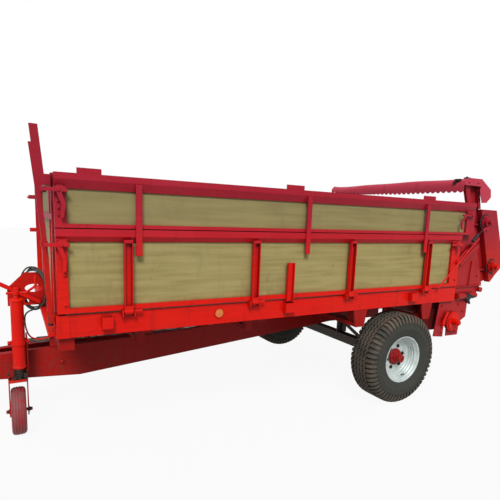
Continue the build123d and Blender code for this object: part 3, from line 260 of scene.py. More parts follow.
def board_paint():
    """Olive paint on boards: faint grain, marks of the brush, water stains, rubbed patches."""
    p = Paint("board_paint")
    grain = p.noise(16.0, 5.0, 0.6, stretch=(0.18, 1.0, 2.4))
    bands = p.noise(9.0, 3.0, 0.55, stretch=(0.20, 1.0, 3.2))
    broad = p.noise(2.1, 4.0, 0.6)
    stains = p.noise(4.5, 5.0, 0.65, stretch=(1.6, 1.0, 0.6))
    marks = p.noise(60.0, 3.0, 0.6, stretch=(0.6, 1.0, 1.6))
    scratches = p.noise(30.0, 2.0, stretch=(1.0, 1.0, 0.12), distortion=1.5)
    colour = p.mix(bands.step(0.30, 0.70), (0.300, 0.236, 0.078), (0.425, 0.350, 0.132))
    colour = p.mix(broad.step(0.35, 0.75) * 0.55, colour, (0.450, 0.372, 0.150))
    colour = p.mix(stains.step(0.52, 0.78) * 0.5, colour, (0.235, 0.180, 0.075))
    colour = p.mix(p.z.step(1.58, 1.64) * 0.5, colour, (0.245, 0.200, 0.090))
    colour = p.mix(scratches.step(0.70, 0.74) * 0.35, colour, (0.17, 0.12, 0.06))
    colour = p.mix(marks.step(0.70, 0.76) * 0.7, colour, (0.10, 0.06, 0.03))
    splashed = p.z.step(1.16, 1.07) * stains.step(0.40, 0.62) * 0.5
    colour = p.mix(splashed, colour, (0.20, 0.14, 0.06))
    # Painted shade: darker in corners and under neighbouring parts.
    colour = p.mix(p.painted_shade_mask(0.06).step(0.20, 0.80) * 0.6, colour, (0.09, 0.065, 0.03))
    p.bump(grain * 0.6 + marks * 0.2 + bands * 0.5, 0.0015, 0.5)
    roughness = (grain * 0.25 + 0.46).limit()
    return p.finish(Base_Color=colour, Roughness=roughness, Specular_IOR_Level=0.35)


def bare_steel():
    """Worn steel with brown rust where nothing rubs."""
    p = Paint("bare_steel")
    broad = p.noise(6.0, 5.0, 0.6)
    fine = p.noise(70.0, 4.0, 0.6)
    rusty = (broad.step(0.40, 0.60) * 0.85 + fine.step(0.5, 0.7) * 0.25).limit()
    rust = p.mix(fine, (0.15, 0.058, 0.028), (0.07, 0.032, 0.020))
    colour = p.mix(rusty, (0.30, 0.28, 0.26), rust)
    p.bump(fine, 0.0008, 0.5)
    roughness = (rusty * 0.35 + 0.42).limit()
    return p.finish(Base_Color=colour, Roughness=roughness, Metallic=1.0 - rusty)


def dark_coat(name, low, high, rust=0.0):
    """A dark worn surface between two colours: iron, rubber or grease, with or without rust."""
    p = Paint(name)
    fine = p.noise(60.0, 4.0, 0.6)
    broad = p.noise(7.0, 3.0, 0.6)
    colour = p.mix(broad, low, high)
    if rust:
        colour = p.mix(fine.step(0.48, 0.66) * rust, colour, (0.12, 0.045, 0.022))
    p.bump(fine, 0.001, 0.6)
    return p.finish(Base_Color=colour, Roughness=(fine * 0.3 + 0.45).limit(), Metallic=0.3)


def tyre_rubber():
    """Weathered tyre: painted shade in the grooves, dry brown earth on tread and shoulder, a grey
    green wall.
    """
    p = Paint("tyre_rubber")
    broad = p.noise(7.0, 5.0, 0.65)
    fine = p.noise(90.0, 4.0, 0.6)
    across = p.x - AXLE_X
    above = p.z - TYRE_RADIUS
    out = (across * across + above * above).power(0.5)
    colour = p.mix(broad, (0.033, 0.035, 0.029), (0.058, 0.058, 0.049))
    colour = p.mix(fine.step(0.45, 0.75) * 0.4, colour, (0.105, 0.092, 0.072))
    earth = out.step(0.335, 0.372) * broad.step(0.30, 0.62) * 0.75
    colour = p.mix(earth, colour, (0.160, 0.122, 0.090))
    # Painted shade: near-black in the grooves and between ribs and bars.
    colour = p.mix(p.painted_shade_mask(0.022).step(0.15, 0.60) * 0.92, colour, (0.010, 0.009, 0.009))
    p.bump(fine, 0.0012, 0.5)
    roughness = (fine * 0.15 + 0.72).limit()
    return p.finish(Base_Color=colour, Roughness=roughness, Specular_IOR_Level=0.3)


def jockey_rubber():
    """Solid rubber tyre once painted red, worn to grey where it rolls."""
    p = Paint("jockey_rubber")
    fine = p.noise(80.0, 4.0, 0.6)
    broad = p.noise(16.0, 4.0, 0.6)
    across = p.y - JOCKEY_Y
    above = p.z - JOCKEY_RADIUS
    out = (across * across + above * above).power(0.5)
    red = p.mix(broad, (0.30, 0.010, 0.012), (0.46, 0.050, 0.060))
    worn = out.step(0.160, 0.172) * broad.step(0.36, 0.56) * fine.step(0.36, 0.60)
    colour = p.mix(worn * 0.8, red, (0.145, 0.110, 0.105))
    p.bump(fine, 0.0015, 0.6)
    return p.finish(Base_Color=colour, Roughness=(worn * 0.2 + 0.55).limit())


def rim_paint():
    """Pale silver wheel paint with thin dust and a few rust freckles."""
    p = Paint("rim_paint")
    broad = p.noise(9.0, 5.0, 0.6)
    fine = p.noise(110.0, 3.0, 0.6)
    colour = p.mix(broad.step(0.35, 0.75), (0.66, 0.73, 0.70), (0.50, 0.56, 0.53))
    colour = p.mix(fine.step(0.62, 0.75) * 0.4, colour, (0.30, 0.27, 0.23))
    p.bump(fine, 0.0006, 0.4, rounding=0.003)
    return p.finish(Base_Color=colour, Roughness=(broad * 0.25 + 0.32).limit(), Metallic=0.25)


def lens():
    """Amber reflector: fine cells under a smooth face."""
    p = Paint("lens")
    cell = p.cells(420.0)
    colour = p.mix(cell, (0.85, 0.26, 0.03), (0.62, 0.13, 0.02))
    p.bump(cell, 0.0006, 0.6)
    return p.finish(Base_Color=colour, Roughness=(cell * 0.2 + 0.18).limit(), Coat_Weight=0.6)


TYRE_RADIUS = 0.4225
WHEEL_Y = 1.0
JOCKEY_X = AXLE_X + 3.13
JOCKEY_Y = 0.285
JOCKEY_RADIUS = 0.178

WARM_RED = (0.80, 0.006, 0.001)
CRIMSON = (0.44, 0.012, 0.030)
RED = red_paint("red_paint", WARM_RED, CRIMSON)
RED_SHEET = red_paint("red_sheet", (0.56, 0.006, 0.002), (0.37, 0.009, 0.026), 0.42, 0.8)
# A darker red, darkened further as painted shade of the chassis under the body.
SHADED_DARK_RED = red_paint("chassis_red_shaded", (0.38, 0.004, 0.002), (0.36, 0.008, 0.018), 0.46, 0.7, 0.08)
DULL_RED = (0.36, 0.006, 0.008)
HUB_RED = red_paint("hub_red", DULL_RED, DULL_RED, 0.44, 0.8)
JOCKEY_RED = red_paint(
    "jockey_red", (0.70, 0.016, 0.006), CRIMSON, 0.40, 0.8, 0.16, grease=(0.432, 0.512)
)
# Faded pink paint, made paler still as painted sheen of the sky on the hood.
FADED_PINK_AND_SHEEN = (0.60, 0.045, 0.085)
HOOD_RED = red_paint("hood_red", FADED_PINK_AND_SHEEN, FADED_PINK_AND_SHEEN, 0.26, 0.7, 0.30)
# A darker copy of the red paint for the rear posts: painted shade.
SHADED_POST_RED = red_paint("post_red_shaded", (0.42, 0.010, 0.014), (0.42, 0.010, 0.020), 0.42, 0.7, 0.14)
# Near-black red for the floor guards: painted shadow under the floor.
SHADOW_DARK_RED = (0.10, 0.003, 0.003)
SHADOW_RED = red_paint("shadow_red", SHADOW_DARK_RED, SHADOW_DARK_RED, 0.60, 0.5, 0.10)
BOARD = board_paint()
STEEL = bare_steel()
IRON = dark_coat("dark_iron", (0.030, 0.026, 0.024), (0.085, 0.060, 0.045), 0.3)
HOSE = dark_coat("hose_rubber", (0.050, 0.053, 0.045), (0.085, 0.088, 0.075))
GREASE = dark_coat("grease", (0.008, 0.006, 0.006), (0.030, 0.022, 0.018), 0.55)
BLACK = dark_coat("black_rubber", (0.012, 0.012, 0.013), (0.030, 0.028, 0.028))
RUBBER = tyre_rubber()
JOCKEY_RUBBER = jockey_rubber()
RIM = rim_paint()
LENS = lens()

finishes = {
    "red_paint": RED,
    "red_sheet": RED_SHEET,
    "board_paint": BOARD,
    "bare_steel": STEEL,
    "dark_iron": IRON,
    "hose_rubber": HOSE,
    "tyre": RUBBER,
    "rim_paint": RIM,
}
for part in frame["record"]["subparts"]:
    mesh = nodes[part["node"]].data
    mesh.materials.clear()
    mesh.materials.append(finishes[part["material_slot"]])
own_finishes = {
    "axle_beam": IRON,
    "rear_post_left": SHADED_POST_RED,
    "rear_post_right": SHADED_POST_RED,
    "chassis_frame": SHADED_DARK_RED,
    "hitch_eye": SHADED_DARK_RED,
    "cross_members": SHADED_DARK_RED,
    "gearbox": SHADED_DARK_RED,
    "conveyor_shaft": RED,
    "hub_left": HUB_RED,
    "hub_right": HUB_RED,
}
for name, material in own_finishes.items():
    nodes[name].data.materials[0] = material


# Making pieces
def finished(name, bm, body, material, crease=35):
    """Turns a bmesh into a piece that rides on a body; edges above crease degrees stay sharp."""
    bmesh.ops.recalc_face_normals(bm, faces=bm.faces)
    for face in bm.faces:
        face.smooth = True
    for edge in bm.edges:
        edge.smooth = edge.calc_face_angle(math.pi) < math.radians(crease)
    mesh = bpy.data.meshes.new(name)
    bm.to_mesh(mesh)
    bm.free()
    mesh.materials.append(material)
    piece = bpy.data.objects.new(name, mesh)
    bpy.context.scene.collection.objects.link(piece)
    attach(piece, body)
    return piece


def along(start, end):
    """A matrix that stands at the middle of a line with its z axis on the line."""
    start, end = Vector(start), Vector(end)
    turn = (end - start).to_track_quat("Z", "Y").to_matrix().to_4x4()
    return Matrix.Translation((start + end) / 2) @ turn


def add_rod(bm, start, end, radius, sides=16, tip=None):
    length = (Vector(end) - Vector(start)).length
    bmesh.ops.create_cone(
        bm,
        cap_ends=True,
        segments=sides,
        radius1=radius,
        radius2=radius if tip is None else tip,
        depth=length,
        matrix=along(start, end),
    )


def add_block(bm, low, high, round_off=0.002):
    size = Vector(high) - Vector(low)
    place = Matrix.Translation((Vector(low) + Vector(high)) / 2) @ Matrix.Diagonal((*size, 1))
    made = bmesh.ops.create_cube(bm, size=1, matrix=place)
    edges = dict.fromkeys(edge for vert in made["verts"] for edge in vert.link_edges)
    bmesh.ops.bevel(
        bm,
        geom=list(edges),
        offset=round_off,
        affect="EDGES",
        segments=2,
        profile=0.5,
        material=-1,
    )


def add_bolt(bm, place, outward, size=0.010):
    """Hexagon head on a washer; place is the point on the surface under it."""
    place, outward = Vector(place), Vector(outward).normalized()
    reach_out = outward * size
    add_rod(bm, place - outward * 0.001, place + reach_out * 0.25, size * 1.45, 18)
    add_rod(bm, place + reach_out * 0.2, place + reach_out, size, 6)
    add_rod(bm, place + reach_out * 0.9, place + reach_out * 1.5, size * 0.5, 10, size * 0.42)


def add_ring(bm, profile, centre, axis, steps=96, closed=False):
    """Spins (along the axis, radius) points about an axis through the centre."""
    centre, axis = Vector(centre), Vector(axis)
    side = Vector((0, 0, 1))
    made = [bm.verts.new(centre + axis * offset + side * radius) for offset, radius in profile]
    line = [bm.edges.new(pair) for pair in zip(made, made[1:])]
    if closed:
        line.append(bm.edges.new((made[-1], made[0])))
    bmesh.ops.spin(
        bm,
        geom=made + line,
        cent=centre,
        axis=axis,
        angle=math.tau,
        steps=steps,
        use_merge=True,
    )


def tube(name, points, radius, body, material, closed=False):
    """A smooth round tube along a NURBS line through a few control points."""
    data = bpy.data.curves.new(name, "CURVE")
    data.dimensions = "3D"
    data.bevel_depth = radius
    data.bevel_resolution = 4
    data.use_fill_caps = True
    spline = data.splines.new("NURBS")
    spline.points.add(len(points) - 1)
    for point, place in zip(spline.points, points):
        point.co = (*place, 1)
    spline.order_u = 3
    spline.use_endpoint_u = not closed
    spline.use_cyclic_u = closed
    spline.resolution_u = 8
    holder = bpy.data.objects.new(name + "_line", data)
    mesh = bpy.data.meshes.new_from_object(holder)
    bpy.data.objects.remove(holder)
    mesh.name = name
    mesh.materials.clear()
    mesh.materials.append(material)
    piece = bpy.data.objects.new(name, mesh)
    bpy.context.scene.collection.objects.link(piece)
    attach(piece, body)
    return piece


def ahead(x, y, z):
    """A point given from the axle's middle on the ground."""
    return (AXLE_X + x, y, z)


# Wheels: tyre with zigzag ribs and shoulder bars
SHOULDER_BARS = 56
BAR_SHARE = 0.56
RIB_SWING = 0.0078
TREAD_FLOOR = 0.4105


def add_zigzag_rib(bm, side, middle, width, steps):
    before = set(bm.verts)
    half = width / 2
    centre = Vector((AXLE_X, side * WHEEL_Y, TYRE_RADIUS))
    profile = [
        (middle - half - 0.001, TREAD_FLOOR - 0.002),
        (middle - half, TYRE_RADIUS - 0.0012),
        (middle - half + 0.0015, TYRE_RADIUS),
        (middle + half - 0.0015, TYRE_RADIUS),
        (middle + half, TYRE_RADIUS - 0.0012),
        (middle + half + 0.001, TREAD_FLOOR - 0.002),
    ]
    add_ring(bm, profile, centre, (0, side, 0), steps)
    for vert in set(bm.verts) - before:
        turned = math.atan2(vert.co.z - centre.z, vert.co.x - centre.x) / math.tau * steps
        vert.co.y += RIB_SWING if round(turned) % 2 else -RIB_SWING


def add_shoulder_bars(bm, side, inner):
    """One bar drawn out from its section, then repeated round the tyre."""
    centre = Vector((AXLE_X, side * WHEEL_Y, TYRE_RADIUS))
    section = [
        (0.0830, TREAD_FLOOR - 0.002),
        (0.0830, TYRE_RADIUS),
        (0.1060, TYRE_RADIUS - 0.0008),
        (0.1215, TYRE_RADIUS - 0.0100),
        (0.1350, TYRE_RADIUS - 0.0270),
        (0.1450, TYRE_RADIUS - 0.0480),
        (0.1500, TYRE_RADIUS - 0.0700),
        (0.1495, TYRE_RADIUS - 0.0850),
        (0.1420, TYRE_RADIUS - 0.0850),
        (0.1350, TYRE_RADIUS - 0.0560),
        (0.1130, TYRE_RADIUS - 0.0230),
    ]
    made = [bm.verts.new(centre + Vector((0, inner * side * y, r))) for y, r in section]
    face = bm.faces.new(made)
    drawn = bmesh.ops.extrude_face_region(bm, geom=[face])
    moved = [item for item in drawn["geom"] if isinstance(item, bmesh.types.BMVert)]
    width = math.tau / SHOULDER_BARS * BAR_SHARE
    bmesh.ops.rotate(bm, verts=moved, cent=centre, matrix=Matrix.Rotation(width, 3, "Y"))
    verts = made + moved
    faces = dict.fromkeys(f for v in verts for f in v.link_faces)
    edges = dict.fromkeys(e for v in verts for e in v.link_edges)
    bmesh.ops.spin(
        bm,
        geom=verts + list(edges) + list(faces),
        cent=centre,
        axis=(0, 1, 0),
        angle=math.tau * (SHOULDER_BARS - 1) / SHOULDER_BARS,
        steps=SHOULDER_BARS - 1,
        use_duplicate=True,
    )


WALL_SECTION = [
    (0.1165, 0.2064),
    (0.1235, 0.2190),
    (0.1290, 0.2240),
    (0.1340, 0.2360),
    (0.1420, 0.2620),
    (0.1475, 0.2900),
    (0.1490, 0.2930),
    (0.1492, 0.3000),
    (0.1480, 0.3030),
    (0.1495, 0.3200),
    (0.1480, 0.3360),
    (0.1440, 0.3440),
    (0.1400, 0.3620),
    (0.1310, 0.3820),
    (0.1160, 0.3980),
    (0.1000, TREAD_FLOOR - 0.002),
    (0.0600, TREAD_FLOOR),
]


def add_tyre(side, word):
    bm = bmesh.new()
    centre = (AXLE_X, side * WHEEL_Y, TYRE_RADIUS)
    outline = WALL_SECTION + [(0, TREAD_FLOOR)] + [(-y, r) for y, r in reversed(WALL_SECTION)]
    inside = [(-0.100, 0.2066), (-0.125, 0.240), (-0.138, 0.310), (-0.120, 0.380), (-0.060, 0.398)]
    outline += inside + [(-y, r) for y, r in reversed(inside)]
    add_ring(bm, outline, centre, (0, side, 0), 96, closed=True)
    for middle in (-0.0585, -0.0195, 0.0195, 0.0585):
        add_zigzag_rib(bm, side, middle, 0.0265, SHOULDER_BARS * 2)
    for inner in (1, -1):
        add_shoulder_bars(bm, side, inner)
    tyre = finished("road_tyre_" + word, bm, "wheel_" + word, RUBBER, 40)
    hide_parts("tyre_" + word)


# Rim: lip, bead seat, three ridges down to a dished disc
RIM_SECTION = [
    (0.1290, 0.2205),
    (0.1300, 0.2180),
    (0.1270, 0.2110),
    (0.1210, 0.2060),
    (0.1030, 0.2040),
    (0.0990, 0.1985),
    (0.0960, 0.1940),
    (0.0900, 0.1925),
    (0.0800, 0.1960),
    (0.0760, 0.1950),
    (0.0720, 0.1870),
    (0.0660, 0.1850),
    (0.0560, 0.1890),
    (0.0520, 0.1880),
    (0.0480, 0.1800),
    (0.0300, 0.1770),
    (0.0240, 0.1700),
    (0.0180, 0.1500),
    (0.0230, 0.1250),
    (0.0225, 0.0900),
    (0.0225, 0.0570),
]
WALL = 0.006
NUT_CIRCLE = 0.105
NUTS = 6
COVER_BOLT_CIRCLE = 0.065
COVER_BOLTS = 8


def beside_wheel(side, circle, turn, out):
    """A point at an angle on a circle round the wheel's axis, out from the wheel's middle."""
    return Vector(
        (
            AXLE_X + circle * math.cos(turn),
            side * (WHEEL_Y + out),
            TYRE_RADIUS + circle * math.sin(turn),
        )
    )


def add_rim(side, word):
    bm = bmesh.new()
    body = "wheel_" + word
    centre = (AXLE_X, side * WHEEL_Y, TYRE_RADIUS)
    disc = [
        (y - WALL, r if r < 0.15 else r - 0.002) for y, r in reversed(RIM_SECTION) if r < 0.172
    ]
    inward = [
        (0.014, 0.1770),
        (-0.062, 0.1770),
        (-0.096, 0.1990),
        (-0.122, 0.2010),
        (-0.129, 0.2170),
    ]
    outward = [
        (-0.129, 0.2205),
        (-0.121, 0.2060),
        (-0.095, 0.2050),
        (-0.060, 0.1830),
        (0.020, 0.1830),
    ]
    outer = [(y, r + WALL) for y, r in reversed(RIM_SECTION[4:15])]
    section = RIM_SECTION + disc + inward + outward + outer
    add_ring(bm, section, centre, (0, side, 0), 96, closed=True)
    finished_rim = finished("wheel_rim_" + word, bm, body, RIM, 50)
    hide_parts("rim_" + word)
    bm = bmesh.new()
    for step in range(NUTS):
        turn = math.radians(50) + step * math.tau / NUTS
        add_bolt(bm, beside_wheel(side, NUT_CIRCLE, turn, 0.0225), (0, side, 0), 0.0125)
    finished("wheel_nuts_" + word, bm, body, BLACK)
    bm = bmesh.new()
    drum = [
        (0.023, 0.050),
        (0.023, 0.079),
        (0.034, 0.079),
        (0.037, 0.074),
        (0.046, 0.070),
        (0.050, 0.060),
        (0.052, 0.053),
    ]
    add_ring(bm, drum + [(0.048, 0.050)], centre, (0, side, 0), 48, closed=True)
    for step in range(COVER_BOLTS):
        turn = step * math.tau / COVER_BOLTS
        add_bolt(bm, beside_wheel(side, COVER_BOLT_CIRCLE, turn, 0.044), (0, side, 0), 0.006)
    cap = [
        (0.104, 0.030),
        (0.104, 0.037),
        (0.110, 0.037),
        (0.113, 0.032),
        (0.116, 0.022),
        (0.1165, 0.010),
        (0.112, 0.010),
    ]
    add_ring(bm, cap, centre, (0, side, 0), 32, closed=True)
    finished("hub_cover_" + word, bm, body, HUB_RED)
    bm = bmesh.new()
    turn = math.radians(252)
    root = beside_wheel(side, 0.190, turn, 0.066)
    tip = beside_wheel(side, 0.168, turn, 0.100)
    add_rod(bm, root, tip, 0.0045, 12)
    add_rod(bm, tip, tip + (tip - root) * 0.3, 0.0060, 12)
    finished("tyre_valve_" + word, bm, body, BLACK)


for side, word in ((1, "left"), (-1, "right")):
    add_tyre(side, word)
    add_rim(side, word)


# Where a node's surface lies, so that small pieces stand on it
trees = {}


def reach(node, start, way):
    if node not in trees:
        mesh = nodes[node].data
        mesh.calc_loop_triangles()
        trees[node] = BVHTree.FromPolygons(
            [v.co for v in mesh.vertices], [tuple(t.vertices) for t in mesh.loop_triangles]
        )
    hit = trees[node].ray_cast(Vector(start), Vector(way))[0]
    if hit is None:
        raise ValueError("nothing of " + node + " lies there")
    return hit


def outside(node, x, z, side=1):
    """The outermost point of a node beside (x, z), counted from the axle, on the left or right."""
    return reach(node, ahead(x, side * 2.0, z), (0, -side, 0))


def add_bolts(name, body, material, rows, size=0.008):
    """One piece with a bolt on the outside of a node for each (node, x, z, side) row."""
    bm = bmesh.new()
    for node, x, z, side in rows:
        add_bolt(bm, outside(node, x, z, side), (0, side, 0), size)
    return finished(name, bm, body, material)


def add_plate(bm, outline, low, high, across="y"):
    """A flat plate: its outline of two coordinates, drawn from low to high along the third."""
    def place(first, second, third):
        return (first, third, second) if across == "y" else (third, first, second)

    face = bm.faces.new([bm.verts.new(place(a, b, low)) for a, b in outline])
    drawn = bmesh.ops.extrude_face_region(bm, geom=[face])
    moved = [item for item in drawn["geom"] if isinstance(item, bmesh.types.BMVert)]
    bmesh.ops.translate(bm, verts=moved, vec=place(0, 0, high - low))


def add_upright_ring(bm, profile, centre, steps=48):
    """Spins closed (height, radius) points about an upright axis."""
    made = [bm.verts.new((centre[0] + radius, centre[1], height)) for height, radius in profile]
    line = [bm.edges.new(pair) for pair in zip(made, made[1:] + made[:1])]
    bmesh.ops.spin(
        bm,
        geom=made + line,
        cent=centre,
        axis=(0, 0, 1),
        angle=math.tau,
        steps=steps,
        use_merge=True,
    )


# Jockey stand: sleeve, fork with its greasy screw, solid grooved tyre on a dished disc
SLEEVE_OUTSIDE = 0.0440
FORK_INSIDE = 0.0565
FORK_OUTSIDE = 0.0650
FORK_AHEAD = 0.014
JOCKEY_WHEEL_AHEAD = 0.018


def add_jockey_stand():
    fork_x = JOCKEY_X + FORK_AHEAD
    centre = Vector((JOCKEY_X + JOCKEY_WHEEL_AHEAD, JOCKEY_Y, JOCKEY_RADIUS))
    axle = Vector((fork_x, JOCKEY_Y, JOCKEY_RADIUS))
    post = (JOCKEY_X, JOCKEY_Y, 0)
    bm = bmesh.new()
    half = [
        (0.003, 0.1740),
        (0.005, 0.1780),
        (0.0155, 0.1775),
        (0.0175, 0.1738),
        (0.0210, 0.1736),
        (0.0230, 0.1768),
        (0.0320, 0.1745),
        (0.0340, 0.1712),
        (0.0370, 0.1705),
        (0.0390, 0.1722),
        (0.0460, 0.1640),
        (0.0500, 0.1520),
        (0.0500, 0.1300),
        (0.0450, 0.1180),
        (0.0300, 0.1120),
    ]
    outline = half + [(-x, r) for x, r in reversed(half)]
    add_ring(bm, outline, centre, (1, 0, 0), 72, closed=True)
    wheel = finished("jockey_tyre", bm, "jockey_wheel_body", JOCKEY_RUBBER, 40)
    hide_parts("jockey_wheel")
    bm = bmesh.new()
    disc = [
        (0.034, 0.1180),
        (0.038, 0.1160),
        (0.030, 0.1100),
        (0.012, 0.1000),
        (0.010, 0.0480),
        (0.030, 0.0400),
        (0.0500, 0.0380),
        (0.0500, 0.0125),
    ]
    add_ring(bm, disc + [(-x, r) for x, r in reversed(disc)], centre, (1, 0, 0), 48, closed=True)
    finished("jockey_disc", bm, "jockey_wheel_body", JOCKEY_RED)

    bm = bmesh.new()
    for end in (1, -1):
        arm = [
            (JOCKEY_Y - 0.020, 0.140),
            (JOCKEY_Y + 0.020, 0.140),
            (JOCKEY_Y + 0.038, 0.160),
            (JOCKEY_Y + 0.038, 0.205),
            (JOCKEY_Y + 0.028, 0.260),
            (JOCKEY_Y + 0.034, 0.505),
            (JOCKEY_Y - 0.034, 0.505),
            (JOCKEY_Y - 0.028, 0.260),
            (JOCKEY_Y - 0.038, 0.205),
            (JOCKEY_Y - 0.038, 0.160),
        ]
        near, far = fork_x + end * FORK_INSIDE, fork_x + end * FORK_OUTSIDE
        add_plate(bm, arm, near, far, across="x")
    add_block(
        bm,
        (fork_x - FORK_INSIDE - 0.002, JOCKEY_Y - 0.046, 0.412),
        (fork_x + FORK_INSIDE + 0.002, JOCKEY_Y + 0.046, 0.430),
    )
    add_rod(bm, (JOCKEY_X, JOCKEY_Y, 0.500), (JOCKEY_X, JOCKEY_Y, 0.980), 0.0385, 32)
    add_rod(bm, axle - Vector((0.088, 0, 0)), axle + Vector((0.088, 0, 0)), 0.0120, 16)
    fork = finished("jockey_fork", bm, "jockey_leg_body", JOCKEY_RED)
    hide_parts("jockey_leg")
    bm = bmesh.new()
    for level in range(6):
        z = 0.4305 + 0.0135 * level
        ridge = [
            (z, 0.020),
            (z, 0.036),
            (z + 0.0055, 0.041),
            (z + 0.011, 0.036),
            (z + 0.011, 0.020),
        ]
        add_upright_ring(bm, ridge, post, 32)
    add_rod(bm, (JOCKEY_X, JOCKEY_Y, 0.428), (JOCKEY_X, JOCKEY_Y, 0.512), 0.030, 24)
    for back, front, inner, outer, top in (
        (0.020, 0.048, 0.022, 0.040, 0.462),
        (-0.050, -0.026, 0.020, 0.038, 0.476),
    ):
        add_block(
            bm,
            (JOCKEY_X + back, JOCKEY_Y + inner, 0.431),
            (JOCKEY_X + front, JOCKEY_Y + outer, top),
        )
    finished("jockey_screw", bm, "jockey_leg_body", GREASE)
    bm = bmesh.new()
    for end in (1, -1):
        add_bolt(bm, axle + Vector((end * FORK_OUTSIDE, 0, 0)), (end, 0, 0), 0.0150)
    finished("jockey_axle_nuts", bm, "jockey_leg_body", BLACK)

    bm = bmesh.new()
    tube_wall = [
        (0.5150, SLEEVE_OUTSIDE - 0.004),
        (0.5150, SLEEVE_OUTSIDE + 0.003),
        (0.5270, SLEEVE_OUTSIDE + 0.003),
        (0.5300, SLEEVE_OUTSIDE),
        (1.0150, SLEEVE_OUTSIDE),
        (1.0170, SLEEVE_OUTSIDE + 0.003),
        (1.0290, SLEEVE_OUTSIDE + 0.003),
        (1.0350, SLEEVE_OUTSIDE - 0.002),
        (1.0390, 0.0300),
        (1.0400, 0.0150),
        (1.0330, 0.0150),
        (1.0200, SLEEVE_OUTSIDE - 0.004),
    ]
    add_upright_ring(bm, tube_wall, post, 64)
    clamp = [(0.690, 0.043), (0.690, 0.050), (0.722, 0.050), (0.722, 0.043)]
    add_upright_ring(bm, clamp, post, 48)
    for end in (1, -1):
        ear = JOCKEY_X + end * 0.058
        add_block(
            bm, (ear - 0.014, JOCKEY_Y - 0.012, 0.692), (ear + 0.014, JOCKEY_Y + 0.002, 0.720)
        )
        add_bolt(bm, (ear, JOCKEY_Y + 0.002, 0.706), (0, 1, 0), 0.008)
    for low_z, high_z in ((0.515, 0.525), (0.555, 0.565)):
        add_block(
            bm,
            (JOCKEY_X - 0.035, 0.117, low_z),
            (JOCKEY_X + 0.035, JOCKEY_Y - SLEEVE_OUTSIDE + 0.004, high_z),
        )
    add_block(bm, (JOCKEY_X - 0.060, 0.119, 0.470), (JOCKEY_X - 0.048, 0.262, 0.735))
    add_block(bm, (JOCKEY_X - 0.056, 0.235, 0.480), (JOCKEY_X - 0.030, 0.252, 0.725))
    sleeve = finished("jockey_tube", bm, "chassis", RED)
    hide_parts("jockey_sleeve")


add_jockey_stand()


# Hose: loose turns over the holder, a tail down to the steel pipe on the drawbar
HOSE_RADIUS = 0.0060
PIPE_RADIUS = 0.0058
COIL_CENTRE = Vector(ahead(3.0080, 0.0975, 1.070))
COIL_ALONG = Vector((0.81, -0.5866, 0))
COIL_OUT = Vector((0.5866, 0.81, 0))
TURN_POINTS = 16
for number, (half_width, half_height, lift, out) in enumerate(
    (
        (0.105, 0.150, 0.003, 0.004),
        (0.112, 0.160, 0.000, -0.006),
        (0.098, 0.166, 0.004, -0.014),
        (0.110, 0.171, 0.007, 0.011),
    )
):
    turn = []
    for step in range(TURN_POINTS):
        angle = math.tau * step / TURN_POINTS
        wander = 0.004 * math.sin(3 * angle + number * 1.7)
        turn.append(
            COIL_CENTRE
            + COIL_ALONG * (half_width * math.cos(angle))
            + COIL_OUT * (out + wander)
            + Vector((0, 0, half_height * math.sin(angle) + lift + wander))
        )
    loop = tube(
        "hose_turn_%d" % number, turn, HOSE_RADIUS, "chassis", HOSE, closed=True
    )
    if number == 0:
        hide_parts("hose")
tube(
    "hose_tail",
    [
        ahead(3.000, 0.112, 0.915),
        ahead(3.045, 0.110, 0.905),
        ahead(3.078, 0.130, 0.880),
        ahead(3.082, 0.150, 0.835),
        ahead(3.080, 0.155, 0.800),
    ],
    HOSE_RADIUS,
    "chassis",
    HOSE,
)
tube(
    "brake_pipe",
    [
        ahead(3.080, 0.155, 0.812),
        ahead(3.076, 0.155, 0.770),
        ahead(3.050, 0.153, 0.700),
        ahead(2.985, 0.150, 0.676),
        ahead(2.930, 0.146, 0.684),
        ahead(2.895, 0.140, 0.694),
        ahead(2.880, 0.125, 0.690),
    ],
    PIPE_RADIUS,
    "chassis",
    RED,
)


# Hood: dented half-round sheet with a scalloped lip, hooked end plates, rubber buffers
SCALLOPS = 31
SCALLOP_STEPS = 6
HOOD_HALF = 1.010
HOOD_WALL = 0.004
END_PLATE = 0.006
HOOD_SECTION = [
    (-0.7820, 2.018),
    (-0.7795, 2.045),
    (-0.7800, 2.072),
    (-0.7840, 2.094),
    (-0.7930, 2.113),
    (-0.8060, 2.126),
    (-0.8280, 2.1362),
    (-0.8800, 2.1380),
    (-0.9600, 2.1400),
    (-1.0500, 2.1375),
    (-1.1100, 2.1120),
    (-1.1700, 2.0800),
    (-1.2020, 2.0580),
]


